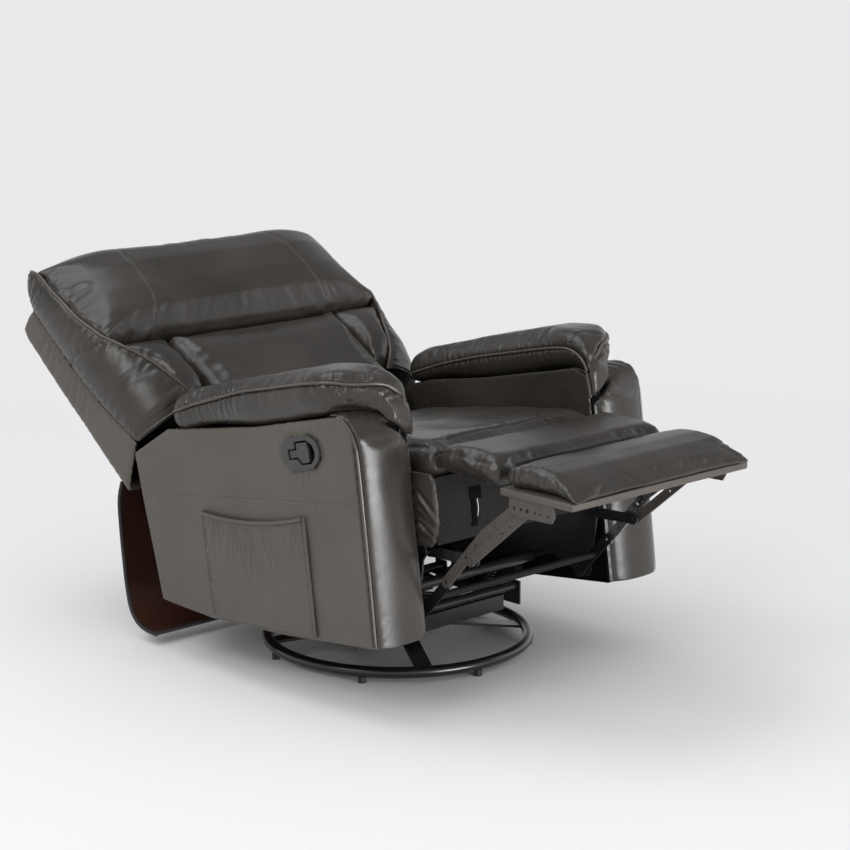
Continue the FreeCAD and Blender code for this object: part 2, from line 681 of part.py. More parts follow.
def make_arm(side, sign):
    """One arm: frame, side panel, front panel and pad."""
    frame = new_body("arm_frame_" + side)
    skin = "side_skin"
    depth = "arm_outside - arm_inside - side_skin"
    sketch = sketch_on(frame, "YZ_Plane", side_start(sign, "arm_inside", depth))
    outline(sketch, ARM_SIDE)
    pad(frame, sketch, depth)
    opening = "arm_outside - side_skin - arm_inside - inner_board"
    start = side_start(sign, "arm_inside + inner_board", opening)
    sketch = sketch_on(frame, "YZ_Plane", start)
    outline(sketch, [
        ("arm_front + frame_bar", "arm_base + frame_bar"), ("117", "arm_base + 27 + frame_bar"),
        ("282 - frame_bar", "arm_base + 56 + frame_bar"),
        ("327 - frame_bar - 10", "arm_rear_top - 20"),
        ("202", "arm_rear_top + 52 - frame_top_bar"), ("-357", "arm_top - frame_top_bar"),
        ("arm_front + frame_bar", "arm_top - 12 - frame_top_bar")])
    pocket(frame, sketch, opening, reverse=True)
    cleat_depth = "arm_inside - plate_inside - plate_steel"
    sketch = sketch_on(frame, "YZ_Plane", side_start(sign, "plate_inside + plate_steel", cleat_depth))
    outline(sketch, [("-330", "190"), ("100", "200"), ("100", "270"), ("-330", "270")])
    pad(frame, sketch, cleat_depth)
    if sign < 0:
        sketch = sketch_on(frame, "YZ_Plane", "-plate_inside - plate_steel")
        circle(sketch, "cable_y", "300", "cable_radius + 2")
        pocket(frame, sketch, "40")
    keep(frame, "arm_frame_" + side, CARRIAGE)

    panel = new_body("arm_side_panel_" + side)
    sketch = sketch_on(panel, "YZ_Plane", side_start(sign, "arm_outside - side_skin", skin))
    outline(sketch, ARM_SIDE)
    if sign < 0:
        outline(sketch, bezel_hole(3))
    pad(panel, sketch, skin)
    outer = sign * dim("arm_outside")

    def outer_rim(edge):
        box = edge.BoundBox
        at_face = abs(box.XMin - outer) < 0.01 and abs(box.XMax - outer) < 0.01
        in_bezel = abs(edge.CenterOfMass.y - dim("bezel_y")) < 62 \
            and abs(edge.CenterOfMass.z - dim("bezel_z")) < 40
        return at_face and not in_bezel
    soften(panel, "5", outer_rim)
    keep(panel, "arm_side_panel_" + side, CARRIAGE)

    front = new_body("arm_front_panel_" + side)
    width = "arm_outside - arm_inside"
    sketch = sketch_on(front, "XY_Plane", "arm_base")
    inner_x = "%d * arm_inside" % sign
    outer_x = "%d * arm_outside" % sign
    outline(sketch, [
        (inner_x, "arm_front"), (outer_x, "arm_front"),
        ("%s - %d * 4" % (outer_x, sign), "arm_front - front_skin"),
        ("%s - %d * 30" % (outer_x, sign), "arm_front - front_skin - 8"),
        ("%s + %d * 40" % (inner_x, sign), "arm_front - front_skin - 6"),
        ("%s + %d * 4" % (inner_x, sign), "arm_front - front_skin + 8")])
    pad(front, sketch, "arm_top - 4 - arm_base")

    def upright(edge):
        return isinstance(edge.Curve, Part.Line) and edge.BoundBox.YMax < dim("arm_front") - 2 \
            and edge.BoundBox.ZLength > 100
    soften(front, "4", upright)
    # The top rolls back, and its inner corner makes room for the pad's nose.
    sketch = sketch_on(front, "YZ_Plane")
    outline(sketch, [
        ("-425", "505"), ("-417", "505"), ("-412", "528"), ("-404", "543"), ("-393", "553"),
        ("-393", "580"), ("-425", "580")])
    pocket(front, sketch, "2 * arm_outside + 20", both_sides=True)
    sketch = sketch_on(front, "XZ_Plane")
    outline(sketch, [
        ("%d * 270" % sign, "497"), ("%d * 350" % sign, "558"), ("%d * 350" % sign, "580"),
        ("%d * 270" % sign, "580")])
    pocket(front, sketch, "900", both_sides=True)
    keep(front, "arm_front_panel_" + side, CARRIAGE)
    make_arm_pad(side, sign)


# Stations of an arm pad along the arm: (y, inner X, outer X, low, high).
PAD_STATIONS = [
    (200, 297, 394, 555, 578), (188, 279, 412, 547.5, 594), (100, 269, 422, 549.5, 619),
    (-50, 267, 424, 553, 638), (-220, 267, 424, 564, 655), (-300, 267, 422, 573, 661),
    (-330, 267, 412, 575, 659), (-350, 266, 393, 576, 654), (-370, 265, 372, 573, 645),
    (-390, 264, 350, 567, 630), (-402, 270, 328, 574, 608)]

# Nose of an arm pad over the front's inner corner: y, then (X, z) corners.
NOSE_STATIONS = [
    (-394.4, [(262, 510), (262, 585), (285, 616), (333, 614), (347, 590), (346, 561),
              (284, 512)]),
    (-403, [(264, 515), (265, 580), (284, 603), (322, 601), (336, 580), (337, 559),
            (286, 519)]),
    (-411, [(274, 527), (274, 560), (286, 575), (306, 573), (316, 562), (318, 550),
            (288, 529)])]


def make_arm_pad(side, sign):
    """The stuffed pad on one arm, with the nose that wraps the front's inner corner."""
    rows = []
    for y, inner, outer, low, high in PAD_STATIONS:
        rows.append((y, sign * (inner + outer) / 2, (outer - inner) / 2, low, high))
    wires = []
    for y, corners in NOSE_STATIONS:
        loop = [VEC(sign * x, y, z) for x, z in corners]
        wires.append(Part.makePolygon(loop + loop[:1]))
    nose = Part.makeLoft(wires, True, True)
    shape_part("arm_pad_" + side, soft_loft(rows).fuse(nose), CARRIAGE)


# ---------------------------------------------------------------- pocket and release handle

# Half-moon of the bezel about its middle: (y, z), the round side to the front.
BEZEL_EDGE = [
    (-30, 34), (36, 34), (53, 20), (59, 2), (55, -12), (34, -35), (-32, -35), (-54, -20),
    (-60, 0), (-54, 20)]


def bezel_outline(inset):
    """The bezel's outline, each point moved towards the middle."""
    points = []
    for y, z in BEZEL_EDGE:
        share = 1 - inset / math.hypot(y, z)
        points.append(("%.4f" % (y * share), "%.4f" % (z * share)))
    return points


def bezel_hole(inset):
    """The bezel's outline as a hole in the arm's side panel."""
    places = [BEZEL_IN_ARM.multVec(VEC(0, float(y), float(z))) for y, z in bezel_outline(inset)]
    return [("%.4f" % place.y, "%.4f" % place.z) for place in places]


def make_pocket():
    """The magazine pocket on the right arm, open at the top."""
    pouch = new_body("arm_pocket")
    depth = "pocket_gap + pocket_wall"
    sketch = sketch_on(pouch, "YZ_Plane", "-arm_outside - pocket_gap - pocket_wall")
    outline(sketch, [
        ("pocket_front", "118"), ("100", "140"), ("pocket_rear", "pocket_top"),
        ("pocket_front", "pocket_top")])
    pad(pouch, sketch, depth)
    sketch = sketch_on(pouch, "YZ_Plane", "-arm_outside - pocket_gap")
    outline(sketch, [
        ("pocket_front + 5", "124"), ("95", "146"), ("pocket_rear - 5", "pocket_top + 10"),
        ("pocket_front + 5", "pocket_top + 10")])
    pocket(pouch, sketch, "pocket_gap + 1", reverse=True)
    keep(pouch, "arm_pocket", CARRIAGE)


def make_release():
    """Bezel, its pull handle and the release cable inside the right arm."""
    bezel = new_body("handle_bezel")
    sketch = sketch_on(bezel, "YZ_Plane", "-arm_outside - bezel_proud")
    outline(sketch, bezel_outline(0))
    pad(bezel, sketch, "bezel_proud")
    soften(bezel, "17", along_x)
    sketch = sketch_on(bezel, "YZ_Plane", "-arm_outside")
    outline(sketch, bezel_outline(4))
    pad(bezel, sketch, "bezel_recess")
    sketch = sketch_on(bezel, "YZ_Plane", "-arm_outside - bezel_proud")
    outline(sketch, [
        ("36", "-12"), ("36", "10"), ("13.5", "10"), ("13.5", "24"), ("-24", "24"), ("-40", "14"),
        ("-47", "-1"), ("-43", "-15"), ("-30", "-25"), ("0", "-25"), ("12", "-12")])
    pocket(bezel, sketch, "bezel_proud + bezel_recess - bezel_wall", reverse=True)
    sketch = sketch_on(bezel, "XY_Plane", "-15")
    circle(sketch, "-arm_outside + 1", "handle_pin_y", "handle_pin_radius + 0.3")
    pocket(bezel, sketch, "29", reverse=True)
    keep(bezel, "handle_bezel", BEZEL)

    handle = new_body("release_handle")
    sketch = sketch_on(handle, "YZ_Plane", "-arm_outside - 2")
    outline(sketch, [
        ("32", "-8.5"), ("32", "6.5"), ("9.5", "6.5"), ("9.5", "20"), ("-22", "20"), ("-26", "0"),
        ("-23", "-21.5"), ("-2", "-21.5"), ("9.5", "-8.5")])
    pad(handle, sketch, "handle_thickness")
    soften(handle, "2", along_x)
    sketch = sketch_on(handle, "XY_Plane", "-13.5")
    circle(sketch, "-arm_outside + 1", "handle_pin_y", "handle_pin_radius")
    pad(handle, sketch, "26")
    keep(handle, "release_handle", BEZEL)

    bend = 18
    top = dim("bezel_z") - 16
    low = 300
    start = -dim("arm_outside") + dim("bezel_recess") + 0.2
    turn = start + 44
    end = -dim("plate_inside") - dim("plate_steel") - 0.2
    y = dim("cable_y")
    corner = bend * (1 - math.sqrt(0.5))
    path = Part.Wire([
        Part.makeLine(VEC(start, y, top), VEC(turn - bend, y, top)),
        Part.Arc(VEC(turn - bend, y, top), VEC(turn - corner, y, top - corner),
                 VEC(turn, y, top - bend)).toShape(),
        Part.makeLine(VEC(turn, y, top - bend), VEC(turn, y, low + bend)),
        Part.Arc(VEC(turn, y, low + bend), VEC(turn + corner, y, low + corner),
                 VEC(turn + bend, y, low)).toShape(),
        Part.makeLine(VEC(turn + bend, y, low), VEC(end, y, low))])
    ring = Part.Wire([Part.makeCircle(dim("cable_radius"), VEC(start, y, top), X_AXIS)])
    shape_part("release_cable", path.makePipeShell([ring], True, False), CARRIAGE)


# ---------------------------------------------------------------- back

def make_back():
    """Back frame, shell, cushions and brackets, in the frame of the recline pivot."""
    for side, sign in SIDES:
        side_profile("back_stile_" + side, [
            ("frame_front", "60"), ("frame_front + stile_depth", "60"),
            ("frame_front + stile_depth", "shell_top - 44"), ("frame_front", "shell_top - 44")],
            side_start(sign, "stile_outside - stile_width", "stile_width"), "stile_width", BACK)
    for name, low, high in (("top", "shell_top - 43.9", "shell_top - 8"),
                            ("bottom", "94", "128")):
        body = new_body("back_rail_" + name)
        sketch = sketch_on(body, "YZ_Plane")
        front = "frame_front" if name == "top" else "frame_front + stile_depth + 0.1"
        depth = "stile_depth" if name == "top" else "26"
        outline(sketch, [(front, low), (front + " + " + depth, low),
                         (front + " + " + depth, high), (front, high)])
        pad(body, sketch, "2 * back_half_width - 16", both_sides=True)
        keep(body, "back_rail_" + name, BACK)

    shell = new_body("back_shell")
    sketch = sketch_on(shell, "YZ_Plane")
    outline(sketch, [
        ("114", "shell_top - 4"), ("143", "shell_top"), ("shell_rear - 8", "shell_top - 2"),
        ("shell_rear", "shell_top - 24"), ("shell_rear", "71"), ("74", "120"),
        ("100", "257"), ("113", "386")])
    pad(shell, sketch, "2 * back_half_width", both_sides=True)
    sketch = sketch_on(shell, "YZ_Plane")
    outline(sketch, [
        ("40", "40"), ("shell_rear - shell_wall", "40"),
        ("shell_rear - shell_wall", "shell_top - 8"), ("40", "shell_top - 8")])
    pocket(shell, sketch, "2 * (back_half_width - shell_wall)", both_sides=True)
    keep(shell, "back_shell", BACK)

    width = "back_half_width - 4"
    side_profile("head_pillow", [
        ("106", "cushion_split + 2"), ("112", "cushion_split + 70"), ("112", "565"),
        ("106", "604"), ("82", "pillow_top - 12"), ("46", "pillow_top"),
        ("12", "pillow_top - 12"), ("-20", "592"), ("-42", "530"), ("-50", "450"),
        ("-44", "384"), ("-28", "cushion_split + 2")],
        "-(%s)" % width, "2 * (%s)" % width, BACK, "18")
    side_profile("lumbar_cushion", [
        ("108", "cushion_split - 2"), ("-28", "cushion_split - 2"), ("-50", "250"),
        ("-62", "150"), ("-72", "66"), ("-68", "6"), ("-42", "-14"), ("50", "-14"),
        ("90", "90")], "-246", "492", BACK, "14")
    for side, sign in SIDES:
        start = side_start(sign, "262", width + " - 262")
        side_profile("back_bolster_" + side, [
            ("98", "cushion_split - 2"), ("-26", "cushion_split - 2"), ("-45", "250"),
            ("-50", "180"), ("-38", "148"), ("-10", "128"), ("70", "126"), ("86", "200")],
            start, width + " - 262", BACK, "14")

    lug = 18
    for side, sign in SIDES:
        bracket = new_body("back_bracket_" + side)
        sketch = sketch_on(bracket, "YZ_Plane",
                           side_start(sign, "stile_outside", "bracket_steel"))
        outline(sketch, [
            ("-%d" % lug, "0"), ("-10", "-14"), ("10", "-14"), ("%d" % lug, "0"),
            ("frame_front + 6", "60"), ("frame_front + stile_depth - 2", "70"),
            ("frame_front + stile_depth - 2", "190"), ("frame_front + 4", "190"),
            ("frame_front + 2", "110"), ("-10", "14")])
        circle(sketch, "0", "0", "pin_radius + pin_clearance")
        pad(bracket, sketch, "bracket_steel")
        keep(bracket, "back_bracket_" + side, BACK)


def make_apron():
    """The curved board that hangs behind the seat."""
    spine = [(408, 412), (425, 372), (431, 306), (433, 238), (433, 175), (427, 128),
             (408, 99), (380, 85), (348, 78)]
    thickness = dim("apron_board")
    half = dim("apron_half_width")
    curve = Part.BSplineCurve()
    curve.interpolate([VEC(-half, y, z) for y, z in spine])
    offset = []
    for i in range(len(spine)):
        parameter = curve.parameter(VEC(-half, *spine[i]))
        along = curve.tangent(parameter)[0]
        offset.append(VEC(-half, spine[i][0] + along.z * thickness,
                          spine[i][1] - along.y * thickness))
    other = Part.BSplineCurve()
    other.interpolate(offset)
    first = VEC(-half, *spine[0])
    last = VEC(-half, *spine[-1])
    wire = Part.Wire([curve.toShape(), Part.makeLine(last, offset[-1]),
                      other.toShape(), Part.makeLine(offset[0], first)])
    board = Part.Face(wire).extrude(VEC(2 * half, 0, 0))
    shape_part("rear_apron", board, CARRIAGE)


# ---------------------------------------------------------------- footrest

def side_x(sign, inside):
    """Lower X of a steel link on one side."""
    thickness = dim("link_steel")
    return inside if sign > 0 else -inside - thickness


def make_footrest():
    """Links, brackets, board, pad and the flap that joins the pad to the seat."""
    steel = dim("link_steel")
    wide = dim("link_half_width")
    end = dim("link_end_radius")
    hole = dim("pin_radius") + dim("pin_clearance")
    drive = (dim("drive_pivot_y"), dim("drive_pivot_z"))
    knee = (dim("knee_y"), dim("knee_z"))
    toe = (dim("toe_y"), dim("toe_z"))
    rear = (dim("rear_pivot_y"), dim("rear_pivot_z"))
    elbow = (dim("elbow_y"), dim("elbow_z"))
    pitch = dim("bracket_pitch")
    tilt = math.radians(dim("rock_back_angle"))
    heel = (toe[0] - pitch * math.cos(tilt), toe[1] - pitch * math.sin(tilt))

    arm = flat_bar([drive, knee], dim("drive_link_inside"), steel, wide, end,
                   [drive + (hole,), knee + (hole,)])
    bar_y = drive[0] + 0.55 * (knee[0] - drive[0])
    bar_z = drive[1] + 0.55 * (knee[1] - drive[1])
    reach = dim("drive_link_inside")
    bar = Part.makeCylinder(8, 2 * reach, VEC(-reach, bar_y, bar_z), X_AXIS)
    shape_part("drive_links", Part.makeCompound(
        [both_sides(arm).Solids[0].fuse([bar, both_sides(arm).Solids[1]])]), CARRIAGE)
    link = flat_bar([rear, elbow], dim("drive_link_inside"), steel, wide, end,
                    [rear + (hole,), elbow + (hole,)])
    shape_part("rear_links", both_sides(link), CARRIAGE)
    kinked = flat_bar([knee, (-485, 253), (-556, 313), toe], dim("long_link_inside"), steel, wide,
                      end, [knee + (hole,), toe + (hole,), (-500, 265, 3), (-530, 291, 3),
                            (-590, 333, 3)])
    for side, sign in SIDES:
        shape = kinked if sign > 0 else kinked.mirror(VEC(0, 0, 0), X_AXIS)
        shape_part("long_link_" + side, shape, CARRIAGE)
    short = flat_bar([heel, elbow], dim("short_link_inside"), steel, wide - 1, end - 1,
                     [heel + (hole,), elbow + (hole,)] +
                     [(heel[0] + (elbow[0] - heel[0]) * part,
                       heel[1] + (elbow[1] - heel[1]) * part, 3) for part in (0.32, 0.44)])
    shape_part("short_links", both_sides(short), CARRIAGE)

    base = dim("ottoman_board_base")
    edge = [(14, base), (-100, base), (-106, 0), (-98, -14), (-10, -16), (14, -8)]
    start = dim("bracket_inside")
    places = [VEC(start, y, z) for y, z in edge]
    plate = Part.Face(Part.makePolygon(places + places[:1])).extrude(VEC(steel, 0, 0))
    for y, radius in ((0, hole), (-17, 3), (-pitch, hole), (-54, 3), (-69, 3), (-89, 3)):
        plate = plate.cut(Part.makeCylinder(radius, steel, VEC(start, y, 0), X_AXIS))
    foot = Part.makeBox(22, 114, 3, VEC(start - 22, -100, base - 3))
    shape_part("ottoman_brackets", both_sides(plate.fuse(foot)), OTTOMAN)

    side_profile("ottoman_board", [
        ("ottoman_front", "ottoman_board_base"), ("ottoman_rear", "ottoman_board_base"),
        ("ottoman_rear", "ottoman_board_base + ottoman_board"),
        ("ottoman_front", "ottoman_board_base + ottoman_board")],
        "-ottoman_half_width", "2 * ottoman_half_width", OTTOMAN, "3")

    low = base + dim("ottoman_board") + 1
    top = dim("ottoman_pad_top")
    half = dim("ottoman_half_width")
    front = dim("ottoman_front")
    back = dim("ottoman_rear")
    shape_part("ottoman_pad", soft_loft([
        (front - 2, 0, half - 14, low + 4, low + 22),
        (front + 10, 0, half - 2, low, top - 12),
        (front + 40, 0, half + 1, low, top - 3),
        (front + 80, 0, half + 2, low, top),
        (front + 120, 0, half + 2, low, top),
        (back - 30, 0, half + 1, low, top - 2),
        (back - 8, 0, half - 3, low + 2, top - 8),
        (back, 0, half - 12, low + 8, top - 18)]), OTTOMAN)

    shape_part("chaise_flap", soft_loft([
        (-448, 0, half - 14, 444, 478),
        (-458, 0, half - 4, 436, 485),
        (-490, 0, half, 430, 485),
        (-530, 0, half + 1, 423, 479),
        (-570, 0, half, 416, 471),
        (-606, 0, half - 4, 411, 461),
        (-618, 0, half - 14, 416, 451)]), CARRIAGE)

    pins = []
    for place in (drive, rear):
        for sign in (-1, 1):
            low_x = dim("drive_link_inside") - 1.5
            length = dim("plate_inside") - low_x - 0.05
            start = low_x if sign > 0 else -low_x - length
            pins.append(Part.makeCylinder(dim("pin_radius"), length, VEC(start, *place), X_AXIS))
    for sign in (-1, 1):
        low_x = dim("stile_outside") + 0.05
        length = dim("plate_inside") - low_x - 0.05
        start = low_x if sign > 0 else -low_x - length
        place = VEC(start, dim("recline_pivot_y"), dim("recline_pivot_z"))
        pins.append(Part.makeCylinder(dim("pin_radius"), length, place, X_AXIS))
    shape_part("plate_pins", Part.makeCompound(pins), CARRIAGE)


# ---------------------------------------------------------------- build and export

def export_parts():
    """Check every object, then write one STEP file per sub-part."""
    DOC.recompute()
    broken = [o.Name for o in DOC.Objects if "Invalid" in o.State or "Error" in o.State]
    if broken:
        raise RuntimeError("failed objects: " + ", ".join(broken))
    for obj in SUBPARTS:
        if obj.Shape.isNull() or not obj.Shape.isValid() or not obj.Shape.Solids:
            raise RuntimeError(obj.Label + ": no valid solid")
    os.makedirs("parts", exist_ok=True)
    for obj in SUBPARTS:
        obj.Shape.exportStep(os.path.join("parts", obj.Label + ".step"))
    print(len(SUBPARTS), "sub-parts written")


make_base()
make_turret()
make_rocker()
make_seat()
for arm_side, arm_sign in SIDES:
    make_arm(arm_side, arm_sign)
make_pocket()
make_release()
make_back()
make_apron()
make_footrest()
export_parts()
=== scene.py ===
"""Swivel rocker recliner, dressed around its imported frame.

Metres in the row frame: +Z up, -Y the way the sitter faces, -X the sitter's right. Each
sub-assembly is a class with its sizes in millimetres, and main() builds them in order.
"""
import logging
import math
import random
from dataclasses import dataclass
from enum import Enum
from typing import Callable, Optional, Sequence

import bmesh
import bpy
import numpy as np
from mathutils import Matrix, Vector, kdtree, noise
from mathutils.bvhtree import BVHTree


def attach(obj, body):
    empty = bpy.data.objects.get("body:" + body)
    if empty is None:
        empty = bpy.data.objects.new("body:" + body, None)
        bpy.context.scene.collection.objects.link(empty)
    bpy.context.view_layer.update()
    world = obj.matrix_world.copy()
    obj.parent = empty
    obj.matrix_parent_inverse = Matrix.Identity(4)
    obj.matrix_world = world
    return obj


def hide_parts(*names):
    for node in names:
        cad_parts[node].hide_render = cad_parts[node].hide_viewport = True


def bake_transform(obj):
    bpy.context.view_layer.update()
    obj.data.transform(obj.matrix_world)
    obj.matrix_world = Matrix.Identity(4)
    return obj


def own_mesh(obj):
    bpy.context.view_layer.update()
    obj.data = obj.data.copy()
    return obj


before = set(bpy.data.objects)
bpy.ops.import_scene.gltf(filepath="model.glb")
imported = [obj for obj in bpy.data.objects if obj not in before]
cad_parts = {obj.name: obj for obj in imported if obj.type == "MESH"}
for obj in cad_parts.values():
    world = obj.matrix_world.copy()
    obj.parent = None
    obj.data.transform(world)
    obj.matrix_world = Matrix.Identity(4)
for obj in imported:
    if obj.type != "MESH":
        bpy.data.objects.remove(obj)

LOG = logging.getLogger("recliner")
MM = 0.001
ROCK_BACK = math.radians(-8.1)
LEAN = math.radians(-43.4)
RECLINE_PIVOT = (0, 190, 470)
FOOTREST_PIVOT = (0, -661, 374)
SIDES = (("right", -1), ("left", 1))
Points = Sequence[Sequence[float]]
Rule = Callable[[np.ndarray], np.ndarray]


class Frame(Enum):
    """The assemblies whose drawings the sizes below refer to."""

    FLOOR = "floor"
    CARRIAGE = "carriage"
    BACK = "back"
    FOOTREST = "footrest"

    @property
    def matrix(self) -> Matrix:
        """Placement of this drawing in the row frame, lengths in millimetres.

        Returns:
            The matrix that takes drawing points to the row frame.
        """
        carriage = Matrix.Rotation(ROCK_BACK, 4, "X")
        if self is Frame.CARRIAGE:
            return carriage
        if self is Frame.BACK:
            return carriage @ Matrix.Translation(RECLINE_PIVOT) @ Matrix.Rotation(LEAN, 4, "X")
        if self is Frame.FOOTREST:
            level = Matrix.Rotation(-ROCK_BACK, 4, "X")
            return carriage @ Matrix.Translation(FOOTREST_PIVOT) @ level
        return Matrix.Identity(4)

    def place(self, points: Points) -> list[Vector]:
        """Turn drawing points in millimetres into row frame points in metres."""
        matrix = self.matrix
        return [(matrix @ Vector(p)) * MM for p in points]


def mirrored(points: Points, side: int) -> list[tuple[float, float, float]]:
    """Points of the sitter's left side, moved to a side."""
    return [(x * side, y, z) for x, y, z in points]


def shifted(points: Points, x: float = 0, y: float = 0,
            z: float = 0) -> list[tuple[float, float, float]]:
    """Points moved along the axes."""
    return [(a + x, b + y, c + z) for a, b, c in points]


def ease(values: np.ndarray, start: float, end: float, least: float = 0.0,
         most: float = 1.0) -> np.ndarray:
    """Share that grows from 0 at the start to 1 at the end, kept between two limits."""
    return np.clip((values - start) / (end - start), least, most)


# ------------------------------------------------------------------ finishes

class Graph:
    """Nodes and links of one shader tree."""

    def __init__(self, tree: bpy.types.NodeTree) -> None:
        """Work on a tree."""
        self.tree = tree

    def add(self, kind: str, inputs: Optional[dict] = None, **settings: object) -> bpy.types.Node:
        """Add a node.

        Args:
            kind: Blender's node type, without "ShaderNode".
            inputs: a value or a socket for each input, by its name or number.
            settings: properties of the node.

        Returns:
            The node.
        """
        node = self.tree.nodes.new("ShaderNode" + kind)
        for key, value in settings.items():
            setattr(node, key, value)
        self.feed(node, inputs or {})
        return node

    def feed(self, node: bpy.types.Node, inputs: dict) -> None:
        """Link the given sockets to a node's inputs and set the given values.

        Args:
            node: a node of the tree.
            inputs: a value or a socket for each input, by its name or number.
        """
        for key, value in inputs.items():
            if isinstance(value, bpy.types.NodeSocket):
                self.tree.links.new(value, node.inputs[key])
            else:
                node.inputs[key].default_value = value

    def math(self, operation: str, *values: object) -> bpy.types.NodeSocket:
        """The result of one operation on sockets and numbers."""
        return self.add("Math", dict(enumerate(values)), operation=operation).outputs[0]

    def ramp(self, share: bpy.types.NodeSocket, first: tuple, last: tuple,
             places: tuple[float, float] = (0.0, 1.0)) -> bpy.types.Node:
        """A ramp between two colours.

        Args:
            share: drives the ramp.
            first: colour at its start.
            last: colour at its end.
            places: shares at which it starts and ends.

        Returns:
            The ramp's node.
        """
        node = self.add("ValToRGB", {"Fac": share})
        for element, place, colour in zip(node.color_ramp.elements, places, (first, last)):
            element.position = place
            element.color = (*colour, 1.0)
        return node


class Effects:
    """Shader groups that several finishes share, each with one value out."""

    pebble_share: float = 0.5
    wrinkle_share: float = 3.5

    def __init__(self) -> None:
        """Build each group once."""
        self.grain = self._grain()
        self.patina = self._patina()
        self.wear = self._wear()

    @staticmethod
    def _open(name: str, result: str,
              values: dict[str, float]) -> tuple[Graph, bpy.types.NodeOutputs]:
        """Start a group that reads Vector and some values.

        Args:
            name: group name.
            result: name of its output.
            values: its other inputs and their defaults.

        Returns:
            The group's graph and the sockets that hold its inputs.
        """
        group = bpy.data.node_groups.new(name, "ShaderNodeTree")
        face = group.interface
        face.new_socket(name="Vector", in_out="INPUT", socket_type="NodeSocketVector")
        for key, value in values.items():
            item = face.new_socket(name=key, in_out="INPUT", socket_type="NodeSocketFloat")
            item.default_value = value
        face.new_socket(name=result, in_out="OUTPUT", socket_type="NodeSocketFloat")
        return Graph(group), group.nodes.new("NodeGroupInput").outputs

    @staticmethod
    def _close(graph: Graph, result: bpy.types.NodeSocket) -> bpy.types.NodeTree:
        """Put the result out of the group.

        Args:
            graph: the group's nodes.
            result: the socket that holds the result.

        Returns:
            The group.
        """
        sink = graph.tree.nodes.new("NodeGroupOutput")
        graph.tree.links.new(result, sink.inputs[0])
        return graph.tree

    def _grain(self) -> bpy.types.NodeTree:
        """Leather grain: pebbles, pores and slack wrinkles as one height.

        Returns:
            The group.
        """
        graph, given = self._open("leather_grain", "Height",
                                  {"Pebble Scale": 620.0, "Wrinkle Scale": 26.0})
        fine = {"Vector": given["Vector"], "Scale": given["Pebble Scale"]}
        slack = {"Vector": given["Vector"], "Scale": given["Wrinkle Scale"]}
        pebble = graph.add("TexVoronoi", fine, feature="SMOOTH_F1").outputs["Distance"]
        pore = graph.add("TexNoise", {**fine, "Detail": 3}).outputs[0]
        wrinkle = graph.add("TexNoise", {**slack, "Detail": 4, "Roughness": 0.62,
                                         "Distortion": 1.6}).outputs[0]
        skin = graph.math("MULTIPLY_ADD", pebble, self.pebble_share, pore)
        return self._close(graph, graph.math("MULTIPLY_ADD", wrinkle, self.wrinkle_share, skin))

    def _patina(self) -> bpy.types.NodeTree:
        """Slow and fast colour variation as one mask.

        Returns:
            The group.
        """
        graph, given = self._open("patina", "Mask", {"Scale": 5.0})
        slow = graph.add("TexNoise", {"Vector": given["Vector"], "Scale": given["Scale"],
                                      "Detail": 6, "Roughness": 0.6}).outputs[0]
        spread = graph.add("MapRange", {"Value": slow, "From Min": 0.34, "From Max": 0.66})
        return self._close(graph, spread.outputs["Result"])

    def _wear(self) -> bpy.types.NodeTree:
        """Rubbed edges: bright where the surface is convex and the noise allows.

        Returns:
            The group.
        """
        graph, given = self._open("edge_wear", "Mask", {"Scale": 90.0, "Amount": 0.5})
        bend = graph.add("NewGeometry").outputs["Pointiness"]
        convex = graph.add("MapRange", {"Value": bend, "From Min": 0.52, "From Max": 0.6})
        speck = graph.add("TexNoise", {"Vector": given["Vector"], "Scale": given["Scale"],
                                       "Detail": 5}).outputs[0]
        rubbed = graph.math("MULTIPLY", convex.outputs["Result"], speck)
        return self._close(graph, graph.math("MULTIPLY", rubbed, given["Amount"]))


